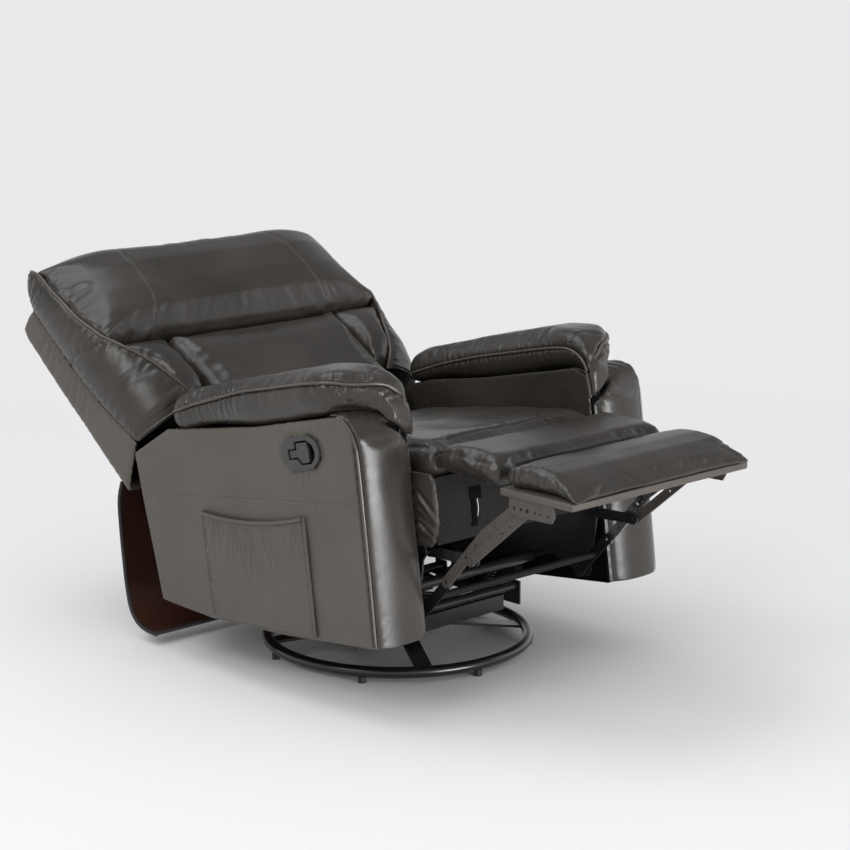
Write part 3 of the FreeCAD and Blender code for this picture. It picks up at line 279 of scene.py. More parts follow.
@dataclass(frozen=True)
class Finish:
    """One surface finish.

    Attributes:
        name: material name.
        light: lighter colour of the variation, linear.
        dark: darker colour of the variation, linear.
        rough: lowest and highest roughness.
        metal: metallic.
        bump: strength of the fine relief.
        bump_mm: depth of the relief in millimetres.
        grain: leather grain, else plain noise.
        pebble: scale of the fine relief, per metre.
        patch: scale of the colour variation, per metre.
        wear: amount of rubbed edges.
        coat: clear coat.
        coat_rough: roughness of the clear coat.
        sheen: fabric sheen.
        specular: strength of the plain reflection.
    """

    name: str
    light: tuple[float, float, float]
    dark: tuple[float, float, float]
    rough: tuple[float, float]
    metal: float = 0.0
    bump: float = 0.4
    bump_mm: float = 0.3
    grain: bool = False
    pebble: float = 620.0
    patch: float = 5.0
    wear: float = 0.3
    coat: float = 0.0
    coat_rough: float = 0.25
    sheen: float = 0.0
    specular: float = 0.5

    def build(self, effects: Effects) -> bpy.types.Material:
        """Make the material.

        Args:
            effects: shared shader groups.

        Returns:
            The material.
        """
        material = bpy.data.materials.new(self.name)
        material.use_nodes = True
        graph = Graph(material.node_tree)
        place = graph.add("TexCoord").outputs["Object"]
        mask = graph.add("Group", {"Vector": place, "Scale": self.patch},
                         node_tree=effects.patina).outputs["Mask"]
        worn = graph.add("Group", {"Vector": place, "Amount": self.wear},
                         node_tree=effects.wear).outputs["Mask"]
        plain = graph.ramp(mask, self.dark, self.light).outputs["Color"]
        rubbed = tuple(min(1.0, c * 2.2 + 0.02) for c in self.light)
        colour = graph.add("Mix", {0: worn, 6: plain, 7: (*rubbed, 1.0)}, data_type="RGBA")
        rough = graph.add("MapRange", {"Value": mask, "To Min": self.rough[0],
                                       "To Max": self.rough[1]})
        bump = graph.add("Bump", {"Strength": self.bump, "Distance": self.bump_mm * MM,
                                  "Height": self._relief(graph, effects, place)})
        graph.feed(material.node_tree.nodes["Principled BSDF"], {
            "Base Color": colour.outputs[2], "Roughness": rough.outputs["Result"],
            "Metallic": self.metal, "Specular IOR Level": self.specular,
            "Coat Weight": self.coat, "Coat Roughness": self.coat_rough,
            "Sheen Weight": self.sheen, "Normal": bump.outputs["Normal"]})
        return material

    def _relief(self, graph: Graph, effects: Effects,
                place: bpy.types.NodeSocket) -> bpy.types.NodeSocket:
        """Height of the leather grain or of plain noise.

        Args:
            graph: the material's nodes.
            effects: shared shader groups.
            place: the position that the pattern follows.

        Returns:
            The socket that holds the height.
        """
        if self.grain:
            return graph.add("Group", {"Vector": place, "Pebble Scale": self.pebble},
                             node_tree=effects.grain).outputs["Height"]
        return graph.add("TexNoise", {"Vector": place, "Scale": self.pebble,
                                      "Detail": 4}).outputs[0]


LEATHER = Finish("taupe_leather", (0.034, 0.029, 0.025), (0.022, 0.019, 0.016), (0.26, 0.36),
                 bump=0.45, bump_mm=0.3, grain=True, wear=0.25)
# The same taupe leather as LEATHER, painted lighter: painted light for the panels that face the
# lamps and catch their sheen.
LEATHER_LIT = Finish("taupe_leather_panel", (0.078, 0.066, 0.056), (0.06, 0.051, 0.043),
                      (0.4, 0.52), bump=0.42, bump_mm=0.28, grain=True, wear=0.2)
PIPING = Finish("piping_leather", (0.06, 0.052, 0.045), (0.04, 0.034, 0.03), (0.28, 0.38),
                bump=0.3, bump_mm=0.15, grain=True, pebble=900.0, wear=0.5)
# Real stitches, coloured near black as painted shade along the pocket's seams.
SHADE = Finish("dark_thread", (0.012, 0.011, 0.01), (0.008, 0.007, 0.007), (0.55, 0.7),
               bump=0.6, bump_mm=0.2, pebble=2600.0, wear=0.0)
THREAD = Finish("sewing_thread", (0.15, 0.138, 0.125), (0.1, 0.09, 0.082), (0.55, 0.7),
                bump=0.6, bump_mm=0.2, pebble=2600.0, wear=0.0, sheen=0.2)
ENAMEL = Finish("black_enamel", (0.008, 0.008, 0.009), (0.004, 0.004, 0.005), (0.2, 0.32),
                bump=0.12, bump_mm=0.08, pebble=900.0, wear=0.3, coat=0.35)
LINK_PAINT = Finish("warm_grey_enamel", (0.047, 0.041, 0.036), (0.034, 0.029, 0.026), (0.4, 0.52),
                    bump=0.15, bump_mm=0.08, pebble=800.0, wear=0.4)
ZINC = Finish("bright_zinc", (0.62, 0.62, 0.6), (0.45, 0.45, 0.44), (0.22, 0.38), metal=1.0,
              bump=0.15, bump_mm=0.05, pebble=1400.0, patch=40.0, wear=0.2)
PLASTIC = Finish("dark_plastic", (0.035, 0.034, 0.035), (0.027, 0.026, 0.027), (0.42, 0.52),
                 bump=0.4, bump_mm=0.08, pebble=2200.0, wear=0.15)
OXIDE = Finish("black_oxide", (0.006, 0.006, 0.006), (0.003, 0.003, 0.003), (0.55, 0.7),
               bump=0.3, bump_mm=0.1, pebble=1200.0, wear=0.15, specular=0.25)
GLIDE = Finish("glide_plastic", (0.016, 0.016, 0.016), (0.01, 0.01, 0.01), (0.5, 0.62),
               bump=0.2, bump_mm=0.08, pebble=1500.0, wear=0.1)
LINING = Finish("black_lining", (0.004, 0.004, 0.004), (0.002, 0.002, 0.002), (0.85, 0.97),
                bump=0.8, bump_mm=0.35, pebble=1500.0, patch=60.0, wear=0.0, specular=0.08)
FELT = Finish("grey_lining", (0.026, 0.024, 0.023), (0.009, 0.008, 0.008), (0.85, 0.97),
              bump=0.9, bump_mm=0.5, pebble=900.0, patch=300.0, wear=0.0, specular=0.2)
HARDBOARD = Finish("brown_hardboard", (0.032, 0.008, 0.003), (0.018, 0.005, 0.002), (0.5, 0.65),
                   bump=0.5, bump_mm=0.2, pebble=700.0, patch=12.0, wear=0.1, specular=0.25)
TAPE = Finish("edge_binding", (0.012, 0.012, 0.013), (0.008, 0.008, 0.008), (0.55, 0.7),
              bump=0.4, bump_mm=0.2, pebble=1800.0, wear=0.1)


class Palette:
    """Every finish, built on first use."""

    def __init__(self) -> None:
        """Start with no material built."""
        self.effects = Effects()
        self.made: dict[str, bpy.types.Material] = {}

    def get(self, finish: Finish) -> bpy.types.Material:
        """The material of a finish.

        Args:
            finish: the finish.

        Returns:
            The material, made when it is first asked for.
        """
        if finish.name not in self.made:
            self.made[finish.name] = finish.build(self.effects)
        return self.made[finish.name]


# ------------------------------------------------------------------ modelling bench

def new_piece(name: str, data: bpy.types.ID) -> bpy.types.Object:
    """An object of the given mesh, curve, lamp or camera, linked to the scene.

    Args:
        name: the object's name.
        data: what it holds.

    Returns:
        The object.
    """
    obj = bpy.data.objects.new(name, data)
    bpy.context.scene.collection.objects.link(obj)
    return obj


class Bench:
    """Modelling steps shared by the sub-assemblies."""

    def __init__(self, palette: Palette) -> None:
        """Keep the palette for dressing."""
        self.palette = palette

    @staticmethod
    def alone(obj: bpy.types.Object) -> None:
        """Select one object and make it active.

        Args:
            obj: the object.
        """
        if bpy.context.object and bpy.context.object.mode != "OBJECT":
            bpy.ops.object.mode_set(mode="OBJECT")
        bpy.ops.object.select_all(action="DESELECT")
        obj.select_set(True)
        bpy.context.view_layer.objects.active = obj

    @classmethod
    def settle(cls, obj: bpy.types.Object) -> bpy.types.Object:
        """Put the object's place, turn and size into its mesh.

        Args:
            obj: the object.

        Returns:
            The same object.
        """
        cls.alone(obj)
        bpy.ops.object.transform_apply(location=True, rotation=True, scale=True)
        return obj

    @classmethod
    def apply(cls, obj: bpy.types.Object, kind: str, **settings: object) -> None:
        """Add a modifier with settings and apply it.

        Args:
            obj: the object.
            kind: Blender's modifier type.
            settings: properties of the modifier.
        """
        cls.alone(obj)
        modifier = obj.modifiers.new(kind.lower(), kind)
        for key, value in settings.items():
            setattr(modifier, key, value)
        bpy.ops.object.modifier_apply(modifier=modifier.name)

    @classmethod
    def round_edges(cls, obj: bpy.types.Object, bevel: float, segments: int = 2) -> None:
        """Bevel every sharp edge by a width in millimetres, if it is more than zero."""
        if bevel > 0:
            cls.apply(obj, "BEVEL", width=bevel * MM, segments=segments, limit_method="ANGLE")

    @classmethod
    def block(cls, name: str, low: Sequence[float], high: Sequence[float], drawing: Frame,
              bevel: float, segments: int = 2) -> bpy.types.Object:
        """A bevelled block between two corners of a drawing.

        Args:
            name: piece name.
            low: lowest corner, millimetres.
            high: highest corner, millimetres.
            drawing: the assembly's drawing.
            bevel: edge rounding, millimetres.
            segments: bevel segments.

        Returns:
            The new object.
        """
        bpy.ops.object.select_all(action="DESELECT")
        bpy.ops.mesh.primitive_cube_add(size=1.0)
        obj = bpy.context.object
        obj.name = name
        size = [b - a for a, b in zip(low, high)]
        middle = [(a + b) / 2 for a, b in zip(low, high)]
        for vertex in obj.data.vertices:
            spot = Vector([vertex.co[i] * size[i] + middle[i] for i in range(3)])
            vertex.co = drawing.place([spot])[0]
        cls.round_edges(obj, bevel, segments)
        return obj

    @classmethod
    def plate(cls, name: str, outline: Points, low: float, high: float, drawing: Frame,
              bevel: float = 0.0) -> bpy.types.Object:
        """A plate cut to a (y, z) outline, between two X planes.

        Args:
            name: piece name.
            outline: corners in order, millimetres.
            low: lower X.
            high: higher X.
            drawing: the assembly's drawing.
            bevel: edge rounding, millimetres.

        Returns:
            The new object.
        """
        bpy.ops.object.select_all(action="DESELECT")
        bpy.ops.mesh.primitive_circle_add(vertices=len(outline), fill_type="NGON")
        obj = bpy.context.object
        obj.name = name
        spots = drawing.place([(low, y, z) for y, z in outline])
        for vertex, spot in zip(obj.data.vertices, spots):
            vertex.co = spot
        bpy.ops.object.mode_set(mode="EDIT")
        bpy.ops.mesh.select_all(action="SELECT")
        thickness = ((high - low) * MM, 0, 0)
        bpy.ops.mesh.extrude_region_move(TRANSFORM_OT_translate={"value": thickness})
        bpy.ops.mesh.select_all(action="SELECT")
        bpy.ops.mesh.normals_make_consistent(inside=False)
        bpy.ops.object.mode_set(mode="OBJECT")
        cls.round_edges(obj, bevel)
        return obj

    @classmethod
    def rod(cls, name: str, start: Sequence[float], end: Sequence[float], radius: float,
            drawing: Frame, sides: int = 6, bevel: float = 0.5) -> bpy.types.Object:
        """A many-sided rod between two points of a drawing.

        Args:
            name: piece name.
            start: centre of one end, millimetres.
            end: centre of the other end, millimetres.
            radius: from the axis to a corner, millimetres.
            drawing: the assembly's drawing.
            sides: number of sides.
            bevel: edge rounding, millimetres.

        Returns:
            The new object.
        """
        a, b = drawing.place([start, end])
        bpy.ops.object.select_all(action="DESELECT")
        bpy.ops.mesh.primitive_cylinder_add(vertices=sides, radius=radius * MM,
                                            depth=(b - a).length, location=(a + b) / 2)
        obj = bpy.context.object
        obj.name = name
        obj.rotation_mode = "QUATERNION"
        obj.rotation_quaternion = (b - a).to_track_quat("Z", "Y")
        cls.settle(obj)
        cls.round_edges(obj, bevel)
        return obj

    @classmethod
    def line(cls, name: str, path: Sequence[Vector], radius: float, step: float,
             sides: int = 3) -> bpy.types.Object:
        """A round cord along a path in metres, as a mesh.

        Args:
            name: piece name.
            path: points in metres.
            radius: cord radius, millimetres.
            step: spacing of the path's points, millimetres.
            sides: bevel resolution.

        Returns:
            The new object.
        """
        spots = resample(path, step * MM)
        curve = bpy.data.curves.new(name, "CURVE")
        curve.dimensions = "3D"
        curve.bevel_depth = radius * MM
        curve.bevel_resolution = sides
        curve.use_fill_caps = True
        spline = curve.splines.new("POLY")
        spline.points.add(len(spots) - 1)
        for point, spot in zip(spline.points, spots):
            point.co = (*spot, 1.0)
        cls.alone(new_piece(name, curve))
        bpy.ops.object.convert(target="MESH")
        return bpy.context.object

    @classmethod
    def join(cls, name: str, parts: Sequence[bpy.types.Object]) -> bpy.types.Object:
        """Join several objects into one.

        Args:
            name: piece name.
            parts: the objects, which become one.

        Returns:
            The joined object.
        """
        cls.alone(parts[0])
        for part in parts[1:]:
            part.select_set(True)
        bpy.ops.object.join()
        parts[0].name = name
        parts[0].data.name = name
        return parts[0]

    def finish(self, obj: bpy.types.Object, finish: Finish, body: str, slot: str,
               replaces: Sequence[str] = (), angle: float = 40.0,
               fill: Optional[float] = None) -> bpy.types.Object:
        """Dress a piece, smooth it and put it on its body.

        Args:
            obj: the piece.
            finish: its finish.
            body: the body it rides on, or an empty string to leave it unattached.
            slot: not used.
            replaces: CAD nodes it stands for.
            angle: faces meeting at less than this are shaded smooth, degrees.
            fill: not used.

        Returns:
            The same object.
        """
        obj.data.materials.clear()
        obj.data.materials.append(self.palette.get(finish))
        self.alone(obj)
        bpy.ops.object.shade_smooth_by_angle(angle=math.radians(angle))
        obj.select_set(False)
        if body:
            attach(obj, body)
        if replaces:
            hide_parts(*replaces)
        LOG.info("%s: %d faces", obj.name, len(obj.data.polygons))
        return obj


def resample(path: Sequence[Vector], step: float) -> list[Vector]:
    """Points at even steps along a smooth curve through the path.

    Args:
        path: points.
        step: spacing in the same unit.

    Returns:
        The new points, both ends kept.
    """
    spots = [Vector(p) for p in path]
    dense: list[Vector] = []
    for i in range(len(spots) - 1):
        before = spots[max(i - 1, 0)]
        after = spots[min(i + 2, len(spots) - 1)]
        a, b = spots[i], spots[i + 1]
        count = max(2, int((b - a).length / step * 2))
        for k in range(count):
            t = k / count
            dense.append(0.5 * (2 * a + (b - before) * t
                                + (2 * before - 5 * a + 4 * b - after) * t * t
                                + (3 * a - before - 3 * b + after) * t ** 3))
    dense.append(spots[-1])
    lengths = [0.0]
    for a, b in zip(dense, dense[1:]):
        lengths.append(lengths[-1] + (b - a).length)
    count = max(1, round(lengths[-1] / step))
    result, index = [], 0
    for k in range(count + 1):
        target = lengths[-1] * k / count
        while index < len(dense) - 2 and lengths[index + 1] < target:
            index += 1
        span = lengths[index + 1] - lengths[index]
        share = (target - lengths[index]) / span if span > 0 else 0.0
        result.append(dense[index].lerp(dense[index + 1], min(max(share, 0.0), 1.0)))
    return result


# ------------------------------------------------------------------ upholstery

ROWS = (-4, 4)


@dataclass(frozen=True)
class Pull:
    """How a seam draws the cover in and gathers it, millimetres.

    Attributes:
        depth: how far it pulls in.
        width: half width of the groove.
        gather: depth of the folds that run away from it.
        reach: length of the folds.
        pitch: spacing of the folds.
    """

    depth: float
    width: float
    gather: float = 0.0
    reach: float = 35.0
    pitch: float = 13.0


@dataclass
class Seam:
    """A sewn line.

    Attributes:
        path: points of the line in the drawing, millimetres.
        pull: how it draws the cover in.
        toward: direction in the drawing of the side that is gathered; None for both.
        slant: how far the folds lean along the line.
    """

    path: Points
    pull: Pull
    toward: Optional[Sequence[float]] = None
    slant: float = 0.0


@dataclass(frozen=True)
class Stuffing:
    """How a cover is worked, lengths in millimetres.

    Attributes:
        voxel: size of the skin's faces.
        smooth: rounds of smoothing.
        sway: half height of its slow waves.
        wave: size of a wave.
        shrink: how far the skin is drawn in first.
        puff: most that the cloth may swell; 0 for a plain panel.
        fill: how full the cushion is; None for a panel.
    """

    voxel: float
    smooth: int
    sway: float = 0.0
    wave: float = 100.0
    shrink: float = 0.0
    puff: float = 0.0
    fill: Optional[float] = None


class Cover:
    """A stuffed leather form: a skin that is puffed, sewn and gathered.

    Attributes:
        pressure: cloth pressure.
        quality: cloth steps in a frame.
        stretch: cloth stiffness in its plane.
        bending: cloth stiffness against folding.
        frames: frames of cloth that are run.
        cache_end: last frame of the cloth's cache.
        line_step: spacing of a seam's points, millimetres.
        cord_step: spacing of a cord's points, millimetres.
        stitch: length of a stitch, millimetres.
        stitch_gap: space between two stitches.
        thread: half thickness of the thread.
        thread_lift: height of the thread over the surface.
        thread_sides: sides of the thread.
    """

    pressure: float = 4.0
    quality: int = 4
    stretch: float = 12
    bending: float = 0.4
    frames: int = 18
    cache_end: int = 20
    line_step: float = 2.5
    cord_step: float = 5.0
    stitch: float = 4.2
    stitch_gap: float = 2.6
    thread: float = 0.55
    thread_lift: float = 0.35
    thread_sides: int = 5

    def __init__(self, name: str, drawing: Frame, seed: int) -> None:
        """Start a cover.

        Args:
            name: piece name.
            drawing: the assembly's drawing.
            seed: seed of its folds.
        """
        self.name = name
        self.drawing = drawing
        self.random = random.Random(seed)
        self.seed = seed
        self.obj: bpy.types.Object = None
        self.lines: dict[str, list[Vector]] = {}

    def skin(self, rings: Sequence[Points]) -> "Cover":
        """Span a closed skin over rings of points, with flat ends.

        Args:
            rings: closed rings with equal numbers of points, in the drawing.

        Returns:
            This cover.
        """
        build = bmesh.new()
        self._span(build, [[build.verts.new(p) for p in self.drawing.place(ring)]
                           for ring in rings])
        bmesh.ops.recalc_face_normals(build, faces=build.faces)
        self.obj = self._from_build(self.name, build)
        return self

    @staticmethod
    def _span(build: bmesh.types.BMesh, rows: Sequence[Sequence[bmesh.types.BMVert]]) -> None:
        """Close a skin of faces over rows of vertices, with flat ends.

        Args:
            build: the mesh that is being built.
            rows: rings of as many vertices each, from one end to the other.
        """
        for row, following in zip(rows, rows[1:]):
            for i in range(len(row)):
                k = (i + 1) % len(row)
                build.faces.new((row[i], row[k], following[k], following[i]))
        build.faces.new(rows[0][::-1])
        build.faces.new(rows[-1])

    @staticmethod
    def _from_build(name: str, build: bmesh.types.BMesh) -> bpy.types.Object:
        """Turn the faces built so far into an object.

        Args:
            name: piece name.
            build: the faces, which are freed.

        Returns:
            The new object.
        """
        mesh = bpy.data.meshes.new(name)
        build.to_mesh(mesh)
        build.free()
        return new_piece(name, mesh)

    def take(self, obj: bpy.types.Object) -> "Cover":
        """Use an object made elsewhere as the skin."""
        self.obj = obj
        return self

    def remesh(self, voxel: float) -> "Cover":
        """Give the skin even small faces, millimetres."""
        Bench.apply(self.obj, "REMESH", mode="VOXEL", voxel_size=voxel * MM)
        return self

    @staticmethod
    def _read(mesh: bpy.types.Mesh, what: str) -> np.ndarray:
        """A value of each vertex, one row each: its place, "co", or its "normal".

        Args:
            mesh: the mesh.
            what: name of the value.

        Returns:
            The values.
        """
        data = np.empty(len(mesh.vertices) * 3)
        mesh.vertices.foreach_get(what, data)
        return data.reshape(-1, 3)

    def coordinates(self) -> np.ndarray:
        """Vertex places, one row each."""
        return self._read(self.obj.data, "co")

    def normals(self) -> np.ndarray:
        """Vertex normals, one row each."""
        return self._read(self.obj.data, "normal")

    def move(self, places: np.ndarray) -> None:
        """Write vertex places back."""
        self.obj.data.vertices.foreach_set("co", places.reshape(-1))
        self.obj.data.update()

    def puff(self, cap: float, hold: Optional[Rule] = None) -> "Cover":
        """Blow the skin up with cloth pressure.

        Args:
            cap: most that a point may move, millimetres.
            hold: gives each point's share of the cap, from its places in the drawing.

        Returns:
            This cover.
        """
        rest = self.coordinates()
        Bench.alone(self.obj)
        scene = bpy.context.scene
        scene.frame_set(1)
        cloth = self.obj.modifiers.new("cloth", "CLOTH")
        cloth.settings.use_pressure = True
        cloth.settings.uniform_pressure_force = self.pressure
        cloth.settings.effector_weights.gravity = 0.0
        cloth.settings.quality = self.quality
        cloth.settings.tension_stiffness = self.stretch
        cloth.settings.compression_stiffness = self.stretch
        cloth.settings.bending_stiffness = self.bending
        cloth.point_cache.frame_start = 1
        cloth.point_cache.frame_end = self.cache_end
        for step in range(1, self.frames + 1):
            scene.frame_set(step)
        evaluated = self.obj.evaluated_get(bpy.context.evaluated_depsgraph_get())
        moved = self._read(evaluated.data, "co") - rest
        self.obj.modifiers.remove(cloth)
        scene.frame_set(1)
        limit = np.full(len(rest), cap * MM)
        if hold:
            limit *= hold(self.in_drawing(rest))
        length = np.linalg.norm(moved, axis=1) + 1e-9
        moved *= np.minimum(1.0, limit / length)[:, None]
        self.move(rest + moved)
        return self

    def in_drawing(self, places: np.ndarray) -> np.ndarray:
        """Row frame metres to drawing millimetres."""
        back = np.array(self.drawing.matrix.inverted())
        return (places / MM) @ back[:3, :3].T + back[:3, 3]

    def from_drawing(self, places: np.ndarray) -> np.ndarray:
        """Drawing millimetres to row frame metres."""
        there = np.array(self.drawing.matrix)
        return (places @ there[:3, :3].T + there[:3, 3]) * MM

    def shape(self, rule: Rule) -> "Cover":
        """Move every point by a rule on its drawing coordinates."""
        self.move(self.from_drawing(rule(self.in_drawing(self.coordinates()))))
        return self

    def smooth(self, times: int) -> "Cover":
        """Even out the surface."""
        Bench.apply(self.obj, "SMOOTH", factor=0.5, iterations=times)
        return self

    def refine(self) -> "Cover":
        """Halve the faces' size with one subdivision."""
        Bench.apply(self.obj, "SUBSURF", levels=1, render_levels=1)
        return self

    def sway(self, height: float, size: float) -> "Cover":
        """Raise and lower the surface in slow waves.

        Args:
            height: half height of the waves, millimetres.
            size: size of a wave, millimetres.

        Returns:
            This cover.
        """
        places, normals = self.coordinates(), self.normals()
        offset = Vector((self.seed * 3.1, self.seed * 1.7, 0))
        waves = np.array([noise.noise(Vector(p) / (size * MM) + offset) for p in places])
        self.move(places + normals * (waves * height * MM)[:, None])
        return self

    def on_surface(self, path: Points, step: float, lift: float = 0.0) -> list[Vector]:
        """Lay a line of drawing points on the surface.

        Args:
            path: points of the line in the drawing, millimetres.
            step: spacing of the result, millimetres.
            lift: height over the surface, millimetres.

        Returns:
            Row frame points in metres.
        """
        tree = BVHTree.FromObject(self.obj, bpy.context.evaluated_depsgraph_get())
        spots = []
        for spot in resample(self.drawing.place(path), step * MM):
            hit, normal, _, _ = tree.find_nearest(spot)
            spots.append(hit + normal * lift * MM)
        return spots

    def sew(self, seams: Sequence[Seam]) -> "Cover":
        """Pull the cover in along each seam and gather it there.

        Args:
            seams: the seams, in order.

        Returns:
            This cover.
        """
        for seam in seams:
            self._sew_one(seam)
        return self

    def _sew_one(self, seam: Seam) -> None:
        """Carve one seam.

        Args:
            seam: the seam.
        """
        pull, step = seam.pull, self.line_step
        line = self.on_surface(seam.path, step)
        tree = kdtree.KDTree(len(line))
        for i, spot in enumerate(line):
            tree.insert(spot, i)
        tree.balance()
        places, normals = self.coordinates(), self.normals()
        far = max(pull.reach * 1.7, pull.width * 3) * MM
        low = np.min(np.array(line), axis=0) - far
        high = np.max(np.array(line), axis=0) + far
        near = np.where(np.all((places > low) & (places < high), axis=1))[0]
        along = np.empty(len(near))
        away = np.empty(len(near))
        for k, i in enumerate(near):
            _, index, distance = tree.find(Vector(places[i]))
            along[k], away[k] = index * step, distance / MM
        groove = pull.depth * np.exp(-(away / pull.width) ** 2)
        if pull.gather > 0:
            folds = self._folds(seam, along, away, len(line) * step)
            if seam.toward is not None:
                aim = np.array(self.drawing.matrix.to_3x3() @ Vector(seam.toward).normalized())
                feet = np.array(line)[np.clip((along / step).astype(int), 0, len(line) - 1)]
                side = ((places[near] - feet) @ aim) / MM
                folds *= np.clip(side / 4.0, 0.0, 1.0)
            groove += folds
        places[near] -= normals[near] * (groove * MM)[:, None]
        self.move(places)

    def _folds(self, seam: Seam, along: np.ndarray, away: np.ndarray, length: float) -> np.ndarray:
        """Depth of the folds that leave a seam, at each point.

        Args:
            seam: the seam.
            along: how far along the seam each point is, millimetres.
            away: how far from the seam each point is, millimetres.
            length: length of the seam, millimetres.

        Returns:
            The depths, millimetres.
        """
        pull = seam.pull
        depth = np.zeros(len(along))
        place = self.random.uniform(0, pull.pitch)
        while place < length:
            width = pull.pitch * self.random.uniform(0.17, 0.3)
            strength = pull.gather * self.random.uniform(0.25, 1.0)
            reach = pull.reach * self.random.uniform(0.3, 1.15)
            lean = seam.slant + self.random.uniform(-0.3, 0.3)
            bow = self.random.uniform(-0.004, 0.004)
            across = (along - place - lean * away - bow * away * away)
            across = across / (width * (0.8 + 0.9 * away / pull.reach))
            fade = np.exp(-(away / reach) ** 2) * (1 - 0.5 * np.exp(-(away / 5.0) ** 2))
            depth += strength * np.exp(-across ** 2) * fade
            depth -= 0.5 * strength * np.exp(-(np.abs(across) - 1.8) ** 2) * fade
            place += pull.pitch * self.random.uniform(0.5, 1.5)
        return depth

    @classmethod
    def from_node(cls, name: str, node: str, drawing: Frame, seed: int) -> "Cover":
        """Start a cover from a merged copy of a node of the frame.

        Args:
            name: piece name.
            node: the node's name.
            drawing: the assembly's drawing.
            seed: seed of its folds.

        Returns:
            The cover.
        """
        cover = cls(name, drawing, seed)
        mesh = bpy.data.objects[node].data.copy()
        mesh.name = name
        cover.obj = new_piece(name, mesh)
        Bench.alone(cover.obj)
        bpy.ops.object.mode_set(mode="EDIT")
        bpy.ops.mesh.select_all(action="SELECT")
        bpy.ops.mesh.remove_doubles(threshold=0.00002)
        bpy.ops.mesh.customdata_custom_splitnormals_clear()
        bpy.ops.object.mode_set(mode="OBJECT")
        return cover

    def shrink(self, amount: float, hold: Optional[Rule] = None) -> "Cover":
        """Draw the skin in.

        Args:
            amount: distance, millimetres.
            hold: gives each point's share of it, from its places in the drawing.

        Returns:
            This cover.
        """
        places = self.coordinates()
        share = hold(self.in_drawing(places)) if hold else np.ones(len(places))
        self.move(places - self.normals() * (share * amount * MM)[:, None])
        return self

    def trace(self, key: str, path: Points, lift: float) -> None:
        """Remember a line of the surface, for a cord that is laid after the sewing.

        Args:
            key: name of the line.
            path: points of the line in the drawing.
            lift: height over the surface, millimetres.
        """
        line = self.on_surface(path, self.cord_step, lift)
        for _ in range(6):
            inner = [(a + 2 * b + c) / 4 for a, b, c in zip(line, line[1:], line[2:])]
            line = [line[0], *inner, line[-1]]
        self.lines[key] = line

    def piping(self, key: str, radius: float) -> bpy.types.Object:
        """A covered cord along a traced line."""
        return Bench.line(key + "_cord", self.lines[key], radius, self.cord_step, sides=2)

    def stitches(self, name: str, path: Points) -> bpy.types.Object:
        """A row of stitches along a line of the surface.

        Args:
            name: piece name.
            path: points of the line in the drawing.

        Returns:
            The row as one object.
        """
        line = self.on_surface(path, 1.0, self.thread_lift)
        radius, sides = self.thread * MM, self.thread_sides
        build = bmesh.new()
        place = 0.0
        while place + self.stitch < len(line) - 1:
            a, b = line[int(place)], line[int(place + self.stitch)]
            turn = (b - a).to_track_quat("Z", "Y").to_matrix().to_4x4()
            matrix = Matrix.Translation((a + b) / 2) @ turn
            rings = []
            for z, scale in ((-0.5, 0.35), (-0.25, 1.0), (0.25, 1.0), (0.5, 0.35)):
                around = [k * math.tau / sides for k in range(sides)]
                rings.append([build.verts.new(matrix @ Vector((
                    math.cos(angle) * radius * scale, math.sin(angle) * radius * scale,
                    z * (b - a).length))) for angle in around])
            self._span(build, rings)
            place += self.stitch + self.stitch_gap
        return self._from_build(name, build)

    def work(self, stuffing: Stuffing, share: Optional[Rule] = None,
             form: Optional[Rule] = None, settle: Optional[Rule] = None) -> "Cover":
        """Turn the skin into a stuffed cover or a stretched panel.

        Args:
            stuffing: how it is worked.
            share: each point's share of the shrinking and puffing.
            form: moves the puffed points.
            settle: moves the smoothed points.

        Returns:
            This cover.
        """
        self.remesh(stuffing.voxel)
        if stuffing.shrink:
            self.shrink(stuffing.shrink, share)
        if stuffing.puff:
            self.puff(stuffing.puff, share)
        if form:
            self.shape(form)
        if stuffing.puff:
            self.refine()
        self.smooth(stuffing.smooth)
        if settle:
            self.shape(settle)
        if stuffing.sway:
            self.sway(stuffing.sway, stuffing.wave)
        return self


# ------------------------------------------------------------------ studio

@dataclass(frozen=True)
class Lamp:
    """A softbox that looks at a point and isn't seen itself.

    Attributes:
        name: lamp name.
        spot: its place, metres.
        aim: the point that it looks at.
        size: width and height, metres.
        power: watts.
        tint: colour of its light.
    """

    name: str
    spot: tuple[float, float, float]
    aim: tuple[float, float, float]
    size: tuple[float, float]
    power: float
    tint: tuple[float, float, float] = (1, 1, 1)

    def hang(self) -> None:
        """Put the lamp in the studio."""
        data = bpy.data.lights.new(self.name, "AREA")
        data.shape = "RECTANGLE"
        data.size, data.size_y = self.size
        data.energy = self.power
        data.color = self.tint
        lamp = new_piece(self.name, data)
        lamp.location = self.spot
        lamp.rotation_mode = "QUATERNION"
        lamp.rotation_quaternion = (Vector(self.aim) - Vector(self.spot)).to_track_quat("-Z", "Y")
        lamp.visible_camera = False


